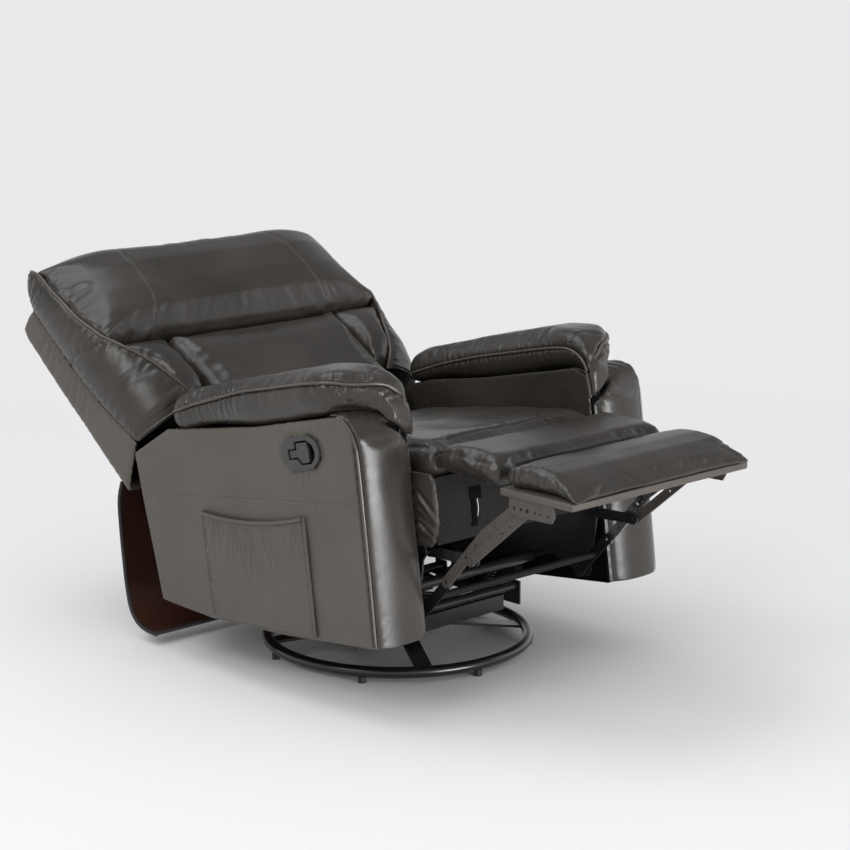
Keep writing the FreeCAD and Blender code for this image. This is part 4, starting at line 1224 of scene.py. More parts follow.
@dataclass
class Studio:
    """Floor, backdrop light, lamps and camera."""

    eye: tuple[float, float, float] = (-3.5138, -3.7399, 1.6131)
    right: tuple[float, float, float] = (0.7206, -0.6934, 0.0)
    forward: tuple[float, float, float] = (0.677, 0.704, -0.213)
    lens: float = 102.3
    sensor: float = 36.0
    floor_size: float = 90.0
    floor_tone: float = 0.71
    floor_rough: float = 0.9
    floor_gloss: float = 0.1
    floor_fade: tuple[float, float] = (0.8, 3.4)
    backdrop: tuple[float, float, float] = (0.82, 0.82, 0.825)
    ceiling: tuple[float, float, float] = (0.3, 0.305, 0.315)
    rise: tuple[float, float] = (0.12, 0.6)
    ambient: float = 0.82
    ambient_tint: tuple[float, float, float, float] = (0.98, 0.99, 1.0, 1.0)
    lamps: tuple[Lamp, ...] = (
        Lamp("left_softbox", (-4.3, -0.5, 3.7), (-0.2, 0.2, 0.6), (2.6, 2.6), 92.0,
             (1, 0.985, 0.96)),
        Lamp("front_softbox", (0.1, -4.7, 0.5), (-0.3, 0.0, 0.4), (2.2, 1.2), 138.0),
        Lamp("top_softbox", (-1.0, 1.5, 4.6), (-0.1, 0.1, 0.4), (3.2, 3.2), 72.0,
             (0.94, 0.97, 1)),
        Lamp("right_softbox", (3.6, -1.6, 1.8), (0.0, -0.1, 0.3), (1.8, 1.8), 12.0))

    def build(self) -> None:
        """Make the whole studio."""
        scene = bpy.context.scene
        scene.view_settings.view_transform = "Standard"
        self._camera(scene)
        self._world(scene)
        self._floor()
        for lamp in self.lamps:
            lamp.hang()

    def _camera(self, scene: bpy.types.Scene) -> None:
        """Place the camera.

        Args:
            scene: the scene that it shows.
        """
        data = bpy.data.cameras.new("camera")
        data.sensor_fit = "HORIZONTAL"
        data.sensor_width = self.sensor
        data.lens = self.lens
        camera = new_piece("camera", data)
        right = Vector(self.right).normalized()
        ahead = Vector(self.forward).normalized()
        upward = right.cross(ahead).normalized()
        right = ahead.cross(upward).normalized()
        turn = Matrix((right, upward, -ahead)).transposed().to_4x4()
        camera.matrix_world = Matrix.Translation(self.eye) @ turn
        scene.camera = camera

    def _world(self, scene: bpy.types.Scene) -> None:
        """A pale backdrop for the eye and a dimmer one for diffuse light.

        Args:
            scene: the scene that it lights.
        """
        world = bpy.data.worlds.new("backdrop")
        world.use_nodes = True
        scene.world = world
        world.node_tree.nodes.clear()
        graph = Graph(world.node_tree)
        way = graph.add("TexCoord").outputs["Generated"]
        height = graph.add("SeparateXYZ", {0: way}).outputs["Z"]
        shade = graph.ramp(height, self.backdrop, self.ceiling, self.rise)
        shade.color_ramp.interpolation = "EASE"
        seen = graph.add("Background", {"Color": shade.outputs["Color"], "Strength": 1.0})
        cast = graph.add("Background", {"Color": self.ambient_tint, "Strength": self.ambient})
        mix = graph.add("MixShader", {0: self._seen_rays(graph), 1: cast.outputs[0],
                                      2: seen.outputs[0]})
        graph.add("OutputWorld", {"Surface": mix.outputs[0]})

    @staticmethod
    def _seen_rays(graph: Graph) -> bpy.types.NodeSocket:
        """One for camera, glossy and transmission rays, else zero.

        Args:
            graph: the world's nodes.

        Returns:
            The socket that holds it.
        """
        path = graph.add("LightPath").outputs
        direct = graph.math("MAXIMUM", path["Is Camera Ray"], path["Is Glossy Ray"])
        return graph.math("MAXIMUM", direct, path["Is Transmission Ray"])

    def _floor(self) -> None:
        """A pale floor that keeps the shadow and fades into the backdrop."""
        bpy.ops.object.select_all(action="DESELECT")
        bpy.ops.mesh.primitive_grid_add(x_subdivisions=8, y_subdivisions=8, size=self.floor_size)
        floor = bpy.context.object
        floor.name = "floor"
        material = bpy.data.materials.new("studio_floor")
        material.use_nodes = True
        nodes = material.node_tree.nodes
        graph = Graph(material.node_tree)
        shader = nodes["Principled BSDF"]
        graph.feed(shader, {"Base Color": (*(self.floor_tone,) * 3, 1.0),
                            "Roughness": self.floor_rough,
                            "Specular IOR Level": self.floor_gloss})
        glow = graph.add("Emission", {"Color": (*self.backdrop, 1.0)})
        place = graph.add("TexCoord").outputs["Object"]
        away = graph.add("VectorMath", {0: place}, operation="LENGTH").outputs["Value"]
        near, far = self.floor_fade
        fade = graph.add("MapRange", {"Value": away, "From Min": near, "From Max": far},
                         interpolation_type="SMOOTHSTEP")
        seen = graph.math("MULTIPLY", self._seen_rays(graph), fade.outputs["Result"])
        mix = graph.add("MixShader", {0: seen, 1: shader.outputs[0], 2: glow.outputs[0]})
        graph.feed(nodes["Material Output"], {"Surface": mix.outputs[0]})
        floor.data.materials.append(material)


# ------------------------------------------------------------------ sub-assemblies

@dataclass
class Assembly:
    """What every sub-assembly needs: the bench that it is made on."""

    bench: Bench

    def dress(self, finish: Finish, *nodes: str) -> None:
        """Give nodes of the frame a finish.

        Args:
            finish: the finish.
            nodes: names of the nodes.
        """
        material = self.bench.palette.get(finish)
        for name in nodes:
            obj = bpy.data.objects[name]
            if not obj.material_slots:
                obj.data.materials.append(material)
            for held in obj.material_slots:
                held.material = material
            LOG.info("%s dressed in %s", name, finish.name)

    def trim(self, name: str, finish: Finish, body: str,
             parts: Sequence[bpy.types.Object]) -> None:
        """Join cords or rows of stitches into one piece and finish it."""
        self.bench.finish(Bench.join(name, parts), finish, body, "leather")


@dataclass
class Back(Assembly):
    """Head pillow, lumbar cushion, wings and shell; lines are for the sitter's left side."""

    piping: Points = ((403, 57, 629), (408, 46, 618), (410, 33, 591), (410, 28, 538),
                      (410, 19, 488), (410, 9, 440), (408, -6, 395), (402, -20, 351),
                      (378, -34, 300), (347, -42, 245), (326, -46, 193), (300, -40, 147),
                      (288, -22, 124))
    shell_seam: Points = ((403, 62, 630), (407, 82, 618), (410, 100, 592), (411, 112, 560),
                          (411, 113, 500), (411, 113, 440), (411, 112, 386), (411, 107, 320),
                          (411, 100, 257), (411, 92, 210), (411, 84, 165), (411, 76, 132),
                          (408, 68, 116))
    bulge: Points = ((0.0, 2), (0.1, 12), (0.3, 17), (0.5, 21), (0.65, 31), (0.8, 41), (0.93, 40),
                     (1.0, 30))
    pillow_front: Points = ((326, -28), (384, -44), (450, -50), (530, -42), (592, -20), (640, 12))
    channel: Points = ((200, 6, 640), (228, -45, 548), (235, -52, 478), (240, -47, 412),
                       (258, -45, 353))
    strip_cross: Points = ((413, 108, 384), (424, 68, 374), (420, 30, 358), (404, -8, 342))
    strip_tip: Points = ((409, 36, 566), (420, 70, 570), (410, 106, 573))
    lumbar_edge: Points = ((238, -40, 300), (240, -60, 150), (240, -66, 20))
    ledge: Points = ((168, 565.6), (176, 565.6), (182.4, 547), (174, 547), (168, 557))
    shell_top: Points = ((-405, 176, 556), (-200, 178, 560), (200, 178, 560), (405, 176, 556))
    shell_end: Points = ((411, 176, 545), (411, 178, 300), (411, 178, 75))
    shell_strip: Points = ((411, 122, 500), (411, 122, 386), (411, 105, 257))
    pillow: Stuffing = Stuffing(8.0, 14, 1.8, 130, shrink=5.0, puff=16.0, fill=0.75)
    lumbar: Stuffing = Stuffing(8.0, 9, 1.6, 110, puff=8.0, fill=0.7)
    wing: Stuffing = Stuffing(7.0, 9, 1.4, 90, shrink=2.0, puff=7.0, fill=0.75)
    shell: Stuffing = Stuffing(4.5, 10, 1.6, 120, shrink=-2.5)
    shared: int = 6
    pillow_end: int = 9
    strip_steps: int = 190
    strip_sides: int = 34
    strip_fill: float = 0.8
    inward: tuple[float, float, float] = (-1, -0.4, 0)

    def build(self) -> None:
        """Make the whole back."""
        self._pillow()
        self._lumbar()
        for name, side in SIDES:
            self._wing(name, side)
            self._side_strip(name, side)
        self._shell()
        self.dress(LINING, "back_stile_left", "back_stile_right", "back_rail_top",
                   "back_rail_bottom")
        self.dress(ENAMEL, "back_bracket_left", "back_bracket_right")

    @staticmethod
    def _front_share(points: np.ndarray) -> np.ndarray:
        """Keep the rear of a cushion where it is fixed."""
        return ease(points[:, 1], 96, 36, 0.12)

    def _along(self, heights: np.ndarray, line: Points, column: int) -> np.ndarray:
        """A column of a line of the back, at the given heights."""
        line = np.array(line)[::-1]
        return np.interp(heights, line[:, 2], line[:, column])

    def _pillow_form(self, points: np.ndarray) -> np.ndarray:
        """Round the pillow back toward its ends, under the side strips, and drop its ears.

        Args:
            points: vertex places in the drawing, millimetres, one row each.

        Returns:
            The places that they move to.
        """
        x, y, z = points.T
        end = ease(np.abs(x), 230, 408) ** 2.0
        edge = self._along(z, self.piping[:self.pillow_end], 1)
        middle = np.interp(z, *np.array(self.pillow_front).T)
        y = y + (edge - 17 - middle) * end * ease(y, 100, middle)
        x = x + np.sign(x) * 6 * end * ease(y - edge, 8, -8)
        tucked = ease(y - edge, 0, 14) * ease(np.abs(x), 380, 408)
        x = x - np.sign(x) * 16 * tucked
        return np.column_stack((x, y, z - 20 * end * ease(z, 560, 640)))

    def _wing_form(self, points: np.ndarray) -> np.ndarray:
        """Slant the wing's outer side in, under its side strip, and crown its front.

        Args:
            points: vertex places in the drawing, millimetres, one row each.

        Returns:
            The places that they move to.
        """
        x, y, z = points.T
        inner, grown_inner, width, outer = 262, 254, 146, 398
        limit = self._along(z, self.piping[self.shared:], 0)
        share = ease(y, 95, -40)
        widest = outer - (outer - limit) * share
        across = np.abs(x) - inner
        crown = 7 * np.sin(np.pi * ease(across, 0, width)) * share
        grown = grown_inner + across * (widest - grown_inner) / width
        return np.column_stack((np.sign(x) * grown, y - crown, z))

    def _pillow(self) -> None:
        """The head pillow with its ears and channels."""
        cover = Cover.from_node("head_pillow_cover", "head_pillow", Frame.BACK, 3)
        cover.work(self.pillow, self._front_share, self._pillow_form)
        seams = []
        for _, side in SIDES:
            edge = mirrored(self.piping[:self.pillow_end], side)
            seams.append(Seam(edge, Pull(1, 6, 1.5, 34, 20), mirrored([self.inward], side)[0]))
            seams.append(Seam(mirrored(self.channel, side), Pull(2, 3.5, 0.3, 34, 24)))
        cover.sew(seams)
        self.bench.finish(cover.obj, LEATHER, "back", "leather", ("head_pillow",),
                          fill=self.pillow.fill)
        self.trim("pillow_stitching", THREAD, "back", [
            cover.stitches("pillow_row", shifted(mirrored(self.channel, side), x=shift))
            for _, side in SIDES for shift in ROWS])

    def _lumbar(self) -> None:
        """The lumbar cushion between the wings."""
        cover = Cover.from_node("lumbar_cover", "lumbar_cushion", Frame.BACK, 5)
        cover.work(self.lumbar).sew([Seam(mirrored(self.lumbar_edge, side),
                                          Pull(2, 6, 0.5, 40, 28)) for _, side in SIDES])
        self.bench.finish(cover.obj, LEATHER, "back", "leather", ("lumbar_cushion",),
                          fill=self.lumbar.fill)

    def _wing(self, name: str, side: int) -> None:
        """The front of one wing beside the lumbar cushion.

        Args:
            name: right or left.
            side: -1 for the sitter's right, 1 for the left.
        """
        node = "back_bolster_" + name
        cover = Cover.from_node("wing_cover_" + name, node, Frame.BACK, 7 + side)
        cover.work(self.wing, form=self._wing_form)
        edge = mirrored(self.piping[self.shared:], side)
        cover.sew([Seam(edge, Pull(1, 6, 0.8, 34, 24), mirrored([self.inward], side)[0])])
        self.bench.finish(cover.obj, LEATHER, "back", "leather", (node,), fill=self.wing.fill)

    def _strip_rings(self, side: int) -> list[list[tuple[float, float, float]]]:
        """Cross sections of a side strip, from its top to its foot.

        Args:
            side: -1 for the sitter's right, 1 for the left.

        Returns:
            Closed rings of points in the back's drawing, millimetres.
        """
        count, across = self.strip_steps, self.strip_sides
        rear, edge = ([line[round(i * (len(line) - 1) / count)] for i in range(count + 1)]
                      for line in (resample([Vector(p) for p in path], 1.0)
                                   for path in (self.shell_seam, self.piping)))
        places, heights = zip(*self.bulge)
        rings = []
        for i, (a, b) in enumerate(zip(rear, edge)):
            before, after = max(i - 1, 0), min(i + 1, count)
            down = rear[after] - rear[before] + edge[after] - edge[before]
            out = down.cross(b - a)
            out = out.normalized() if out.length > 0 else Vector((1, 0, 0))
            if out.x < 0:
                out = -out
            high = min(np.interp(i / count, places, heights), 0.42 * (b - a).length + 1)
            ring = [a.lerp(b, k / across) + out * high * math.sin(math.pi * k / across) ** 0.62
                    for k in range(across + 1)]
            ring += [a.lerp(b, 1 - k / 6) - out * 5 for k in range(1, 6)]
            rings.append(mirrored(ring, side))
        return rings

    def _side_strip(self, name: str, side: int) -> None:
        """The long bulging strip between the piping and the shell.

        Args:
            name: right or left.
            side: -1 for the sitter's right, 1 for the left.
        """
        rings = self._strip_rings(side)
        cover = Cover("side_strip_" + name, Frame.BACK, 13 + side).skin(rings).sway(1.6, 80)
        border, shell, cross, tip = (mirrored(line, side) for line in (
            self.piping, self.shell_seam, self.strip_cross, self.strip_tip))
        cover.trace("piping", border, 1.4)
        cover.trace("foot", rings[-4][2:self.strip_sides:4], 1.2)
        cover.sew([Seam(border, Pull(1.5, 5, 2.6, 50, 23)), Seam(shell, Pull(1.5, 5, 2.2, 40, 18)),
                   Seam(cross, Pull(3.2, 4, 1.2, 34, 20)), Seam(tip, Pull(2.4, 4, 1.2, 24, 16))])
        self.bench.finish(cover.obj, LEATHER, "back", "leather", fill=self.strip_fill)
        self.trim("side_piping_" + name, PIPING, "back",
                  [cover.piping("piping", 3.4), cover.piping("foot", 2.6)])

    def _shell(self) -> None:
        """The leather-covered outside of the back, backed along its thin top edge."""
        cover = Cover.from_node("back_shell_cover", "back_shell", Frame.BACK, 11)
        ledge = Bench.plate("ledge", self.ledge, -410, 410, Frame.BACK)
        cover.take(Bench.join(cover.name, [cover.obj, ledge])).work(self.shell)
        seams = [Seam(self.shell_top, Pull(0.5, 5, 0.8, 30, 22))]
        seams += [Seam(mirrored(self.shell_end, side), Pull(0.8, 5, 0.9, 34, 24))
                  for _, side in SIDES]
        seams += [Seam(mirrored(self.shell_strip, side), Pull(1, 4, 3.0, 55, 20), (0, 1, 0))
                  for _, side in SIDES]
        cover.sew(seams)
        # The shell uses the lighter copy of the leather: painted light.
        self.bench.finish(cover.obj, LEATHER_LIT, "back", "leather", ("back_shell",))


@dataclass
class Apron(Assembly):
    """The stiff rear apron: raw board inside, leather outside, bound edges."""

    spine: Points = ((409, 414), (427, 373), (433, 306), (435, 238), (435, 175), (429, 127),
                     (409, 97), (380, 82), (347, 75))
    half: float = 401.0
    skin: float = 3.0
    gap: float = 0.3
    side_band: float = 4.6
    foot_band: float = 4.2

    def build(self) -> None:
        """Make the leather and the binding over the board."""
        self.dress(HARDBOARD, "rear_apron")
        outline = self._offset(self.skin) + self._offset(self.gap)[::-1]
        leather = Bench.plate("apron_leather", outline, -self.half, self.half, Frame.CARRIAGE, 0.8)
        # The apron's leather uses the lighter copy of the leather: painted light.
        self.bench.finish(leather, LEATHER_LIT, "apron", "leather")
        bands = []
        for _, side in SIDES:
            path = [(side * (self.half + 0.5), y - 2.5, z + 0.8) for y, z in self.spine]
            bands.append(Bench.line("apron_band", Frame.CARRIAGE.place(path), self.side_band,
                                    step=12))
        y, z = self.spine[-1]
        low = Frame.CARRIAGE.place([(x, y, z + 2) for x in (-self.half, 0, self.half)])
        bands.append(Bench.line("apron_band", low, self.foot_band, step=30))
        self.trim("apron_binding", TAPE, "apron", bands)

    def _offset(self, distance: float) -> list[tuple[float, float]]:
        """The outside line of the board, moved out by a distance.

        Args:
            distance: how far out, millimetres.

        Returns:
            Points of the line, millimetres.
        """
        smooth = resample([Vector((y, z, 0)) for y, z in self.spine], 14)
        line = []
        for i, spot in enumerate(smooth):
            ahead = smooth[min(i + 1, len(smooth) - 1)] - smooth[max(i - 1, 0)]
            out = Vector((-ahead.y, ahead.x, 0)).normalized()
            line.append((spot.x + out.x * distance, spot.y + out.y * distance))
        return line


@dataclass
class Arm(Assembly):
    """One arm: panels, rolled front and stuffed pad; lines are for the sitter's left arm."""

    name: str
    side: int
    gusset: Points = ((412, 196, 568), (414, 60, 600), (414, -60, 618), (414, -190, 630),
                      (413, -300, 637))
    nose: Points = ((413, -300, 637), (406, -338, 638), (390, -358, 633), (367, -370, 628),
                    (336, -378, 620), (306, -384, 607), (284, -390, 587), (270, -396, 562),
                    (264, -400, 535), (264, -400, 508))
    inner_cord: Points = ((284, 196, 560), (265, 60, 588), (262, -60, 604), (262, -190, 615),
                          (263, -300, 622), (265, -350, 618), (266, -384, 598), (268, -396, 572))
    nose_foot: Points = ((411, -345, 574), (389, -357, 572), (368, -370, 567), (346, -385, 555),
                         (326, -397, 546), (306, -400, 534), (292, -402, 521), (278, -396, 503))
    pad_cross: Points = ((350, -374, 627), (325, -362, 640), (300, -352, 645), (275, -350, 630))
    split: Points = ((413, -325, 636), (418, -338, 600), (420, -345, 572))
    lean: Points = ((-410, 317), (-390, 339), (-370, 361), (-350, 382), (-330, 404))
    inside: Points = ((-393, 330), (240, 330), (300, 440), (316, 478), (200, 534), (100, 552),
                      (-87, 558), (-357, 578), (-393, 558))
    shoulder: Points = ((-332, 571), (-357, 571), (-379, 560), (-392, 545), (-394, 538),
                        (-396, 556), (-384, 567), (-360, 576), (-332, 578))
    roll: Points = ((-356, 571), (-379, 560), (-392, 545), (-394, 515), (-408, 515), (-408, 530),
                    (-403, 545), (-396, 556), (-384, 567), (-360, 576))
    panel_seam: Points = ((421, 292, 398), (421, 0, 398), (421, -300, 398), (421, -392, 398))
    panel_top: Points = ((421, -395, 540), (421, -300, 560), (421, -87, 540), (421, 190, 532))
    welt: Points = ((420, -357, 570), (420, -382, 555), (420, -398, 530), (420, -405, 480),
                    (420, -405, 300), (420, -402, 108))
    roll_inner: Points = ((281, -403, 540), (281, -403, 400), (281, -403, 110))
    inside_skin: tuple[float, float] = (268.5, 274.0)
    shoulder_span: tuple[float, float] = (277, 420)
    roll_span: tuple[float, float] = (350, 417)
    bezel: tuple[float, float, float] = (-421, -237, 498)
    bezel_tilt: float = math.radians(6)
    bezel_ring: tuple[float, float] = (63, 39)
    bezel_points: int = 17
    pad_down: tuple[float, float, float] = (0.6, 0.2, -1)
    pad_back: tuple[float, float, float] = (0, 1, 0.6)
    inner_panel: Stuffing = Stuffing(3.5, 2, 1.0, 90)
    outer_panel: Stuffing = Stuffing(4.0, 2, 1.4, 130)
    front_panel: Stuffing = Stuffing(3.5, 10, 1.2, 110)
    pad: Stuffing = Stuffing(5.0, 5, 1.4, 80, shrink=1.0, puff=8.0, fill=0.7)

    def build(self) -> None:
        """Make the arm."""
        self.dress(LINING, "arm_frame_" + self.name)
        self._inside()
        self._side()
        self._front()
        self._pad()

    def _between(self, name: str, outline: Points, span: tuple[float, float]) -> bpy.types.Object:
        """A plate of this arm with an outline, between two distances from the chair's middle."""
        low, high = sorted(edge * self.side for edge in span)
        return Bench.plate(name, outline, low, high, Frame.CARRIAGE)

    def _inside(self) -> None:
        """The leather on the sitter's side of the frame, above the seat rails."""
        panel = self._between("inside_panel_" + self.name, self.inside, self.inside_skin)
        cover = Cover("inside_cover_" + self.name, Frame.CARRIAGE, 37 + self.side).take(panel)
        cover.work(self.inner_panel)
        self.bench.finish(cover.obj, LEATHER, "carriage", "leather")

    def _around_bezel(self) -> Points:
        """A closed line around the release bezel.

        Returns:
            Points of the line, millimetres.
        """
        x, y, z = self.bezel
        cos, sin = math.cos(self.bezel_tilt), math.sin(self.bezel_tilt)
        ring = []
        for angle in np.linspace(0, math.tau, self.bezel_points):
            u, v = self.bezel_ring[0] * math.cos(angle), self.bezel_ring[1] * math.sin(angle)
            ring.append((x, y + u * cos + v * sin, z - u * sin + v * cos))
        return ring

    def _side(self) -> None:
        """The outer side panel with its level seam."""
        node = "arm_side_panel_" + self.name
        cover = Cover.from_node("side_cover_" + self.name, node, Frame.CARRIAGE, 21 + self.side)
        cover.work(self.outer_panel)
        level = mirrored(self.panel_seam, self.side)
        seams = [Seam(level, Pull(2.4, 4, 0.6, 26, 16)),
                 Seam(mirrored(self.panel_top, self.side), Pull(1.0, 6, 0.5, 44, 24))]
        if self.side < 0:
            seams.append(Seam(self._around_bezel(), Pull(2.4, 6, 1.8, 36, 20)))
        cover.sew(seams)
        # The side panel uses the lighter copy of the leather: painted light where it faces the left
        # softbox.
        self.bench.finish(cover.obj, LEATHER_LIT, "carriage", "leather", (node,))
        self.trim("side_stitching_" + self.name, THREAD, "carriage",
                  [cover.stitches("side_row", shifted(level, z=shift)) for shift in ROWS])

    @staticmethod
    def _crown(points: np.ndarray) -> np.ndarray:
        """Roll the front between its welts.

        Args:
            points: vertex places in the drawing, millimetres, one row each.

        Returns:
            The places that they move to.
        """
        x, y, z = points.T
        across = np.clip((np.abs(x) - 352) / 71, -1, 1)
        front = np.maximum(-394 - 27 * np.sqrt(1 - across * across), -422)
        share = ease(y, -397, -405) * ease(z, 516, 502)
        return np.column_stack((x, y + (front - y) * share, z))

    def _front(self) -> None:
        """The rolled front panel between two welts, with its shoulder."""
        node = "arm_front_panel_" + self.name
        cover = Cover.from_node("front_cover_" + self.name, node, Frame.CARRIAGE, 25 + self.side)
        cover.take(Bench.join(cover.name, [
            cover.obj, self._between("shoulder", self.shoulder, self.shoulder_span),
            self._between("shoulder", self.roll, self.roll_span)]))
        cover.work(self.front_panel, form=self._crown)
        welt, inner, top = (mirrored(line, self.side)
                            for line in (self.welt, self.roll_inner, self.nose_foot))
        cover.trace("welt", welt, 0.8)
        cover.sew([Seam(welt, Pull(2.5, 5, 0.5, 26, 24)), Seam(inner, Pull(2, 4, 0.5, 24, 24)),
                   Seam(top, Pull(2, 5, 1.2, 40, 20))])
        self.bench.finish(cover.obj, LEATHER, "carriage", "leather", (node,))
        self.trim("front_welt_" + self.name, PIPING, "carriage", [cover.piping("welt", 3.0)])
        self.trim("front_stitching_" + self.name, THREAD, "carriage",
                  [cover.stitches("roll_row", shifted(inner, x=6 * self.side))])

    def _cord_height(self, y: np.ndarray) -> np.ndarray:
        """Height of the outer piping at places along the arm."""
        return np.interp(y, *np.array(self.gusset)[::-1, 1:].T)

    def _pad_share(self, points: np.ndarray) -> np.ndarray:
        """Keep the pad's upright sides and rear flat and let its top swell."""
        _, y, z = points.T
        return ease(z - self._cord_height(y), -16, 14, 0.3) * ease(y, 214, 124, 0.1)

    def _pad_form(self, points: np.ndarray) -> np.ndarray:
        """Lean the front corner in toward its foot.

        Args:
            points: vertex places in the drawing, millimetres, one row each.

        Returns:
            The places that they move to.
        """
        x, y, z = points.T
        limit = np.interp(y, *np.array(self.lean).T)
        limit = limit + 22 * ease(z, 585, 634, most=1.6) + 200 * ease(y, -336, -306)
        return np.column_stack((np.sign(x) * np.minimum(np.abs(x), limit), y, z))

    def _drop(self, points: np.ndarray) -> np.ndarray:
        """Bring the outer side's foot down onto the side panel, and keep clear of the back.

        Args:
            points: vertex places in the drawing, millimetres, one row each.

        Returns:
            The places that they move to.
        """
        x, y, z = points.T
        y = y - 12 * ease(y, 120, 190)
        share = ease(z - self._cord_height(y), -12, -40) * ease(np.abs(x), 380, 405)
        return np.column_stack((x, y, z - 9 * share))

    def _pad(self) -> None:
        """The stuffed top with its gathered sides, cross seam and corded nose."""
        node = "arm_pad_" + self.name
        cover = Cover.from_node("arm_pad_cover_" + self.name, node, Frame.CARRIAGE, 31 + self.side)
        cover.work(self.pad, self._pad_share, self._pad_form, self._drop)
        outer, nose, inner, cross, foot, split = (mirrored(line, self.side) for line in (
            self.gusset, self.nose, self.inner_cord, self.pad_cross, self.nose_foot, self.split))
        cover.trace("outer", outer + nose[1:], 1.2)
        cover.trace("inner", inner, 1.2)
        down = mirrored([self.pad_down], self.side)[0]
        cover.sew([Seam(outer[:3], Pull(3, 6, 2.4, 46, 17)),
                   Seam(outer[2:], Pull(3, 6, 0.9, 40, 26)),
                   Seam(inner, Pull(3, 6, 1.8, 40, 18)), Seam(nose, Pull(3, 6)),
                   Seam(nose[:7], Pull(0, 6, 3.0, 80, 29), down, slant=-1.2),
                   Seam(nose[:7], Pull(0, 6, 1.0, 70, 26), self.pad_back),
                   Seam(cross, Pull(2.4, 3, 0.4, 30, 22)), Seam(split, Pull(2.4, 3.5, 0.3, 30, 24)),
                   Seam(foot, Pull(2.5, 5))])
        self.bench.finish(cover.obj, LEATHER, "carriage", "leather", (node,), fill=self.pad.fill)
        self.trim("pad_piping_" + self.name, PIPING, "carriage",
                  [cover.piping("outer", 3.2), cover.piping("inner", 3.0)])


@dataclass
class Pocket(Assembly):
    """The hanging pocket on the sitter's right arm."""

    sag: float = 15.0
    rear: float = 104.0
    front: float = -231.0
    face: float = -430.0
    hem_height: float = 356.0
    hem_middle: float = -63.0
    hem_half: float = 167.0
    hem_radius: float = 4.4
    panel: Stuffing = Stuffing(2.5, 2, 1.2, 70)

    def _form(self, points: np.ndarray) -> np.ndarray:
        """Let the hem sag between its corners, and the pocket's foot swell.

        Args:
            points: vertex places in the drawing, millimetres, one row each.

        Returns:
            The places that they move to.
        """
        x, y, z = points.T
        t = (y - (self.front + self.rear) / 2) / ((self.rear - self.front) / 2)
        middle = np.clip(1 - t * t, 0, 1)
        belly = 2.0 * middle * ease(z, 200, 260) * ease(x, -423, -427)
        return np.column_stack((x - belly, y, z - self.sag * middle * ease(z, 180, 370)))

    def build(self) -> None:
        """Make the pocket."""
        cover = Cover.from_node("pocket_cover", "arm_pocket", Frame.CARRIAGE, 41)
        cover.work(self.panel, form=self._form)
        hem = [(self.face, y, self.hem_height
                - self.sag * (1 - ((y - self.hem_middle) / self.hem_half) ** 2))
               for y in np.linspace(self.front + 4, self.rear - 4, 9)]
        rear = [(self.face, y, z) for y, z in ((103, 360), (101, 250), (99, 142))]
        front = [(self.face, -229, z) for z in (360, 240, 120)]
        cover.sew([Seam(hem, Pull(1.2, 3, 3.2, 90, 22), (0, 0, -1)),
                   Seam(rear, Pull(1.4, 4, 0.8, 24, 20)), Seam(front, Pull(1.4, 4, 0.8, 24, 20))])
        # The pocket uses the lighter copy of the leather: painted light.
        self.bench.finish(cover.obj, LEATHER_LIT, "carriage", "leather", ("arm_pocket",))
        rows = (shifted(hem, z=-2), shifted(rear, y=-4), shifted(rear, y=-9), shifted(front, y=5))
        # The pocket's stitch rows are near black: painted shade along its seams.
        self.trim("pocket_stitching", SHADE, "carriage",
                  [cover.stitches("pocket_row", row) for row in rows])
        roll = Frame.CARRIAGE.place(shifted(hem, x=-0.8, z=8))
        # The hem roll uses the lighter copy of the leather: painted light.
        self.trim("pocket_hem", LEATHER_LIT, "carriage",
                  [Bench.line("pocket_hem", roll, self.hem_radius, step=6)])


class Release(Assembly):
    """Bezel, handle and cable on the sitter's right arm."""

    def build(self) -> None:
        """Dress the release."""
        self.dress(PLASTIC, "handle_bezel", "release_handle")
        self.dress(GLIDE, "release_cable")


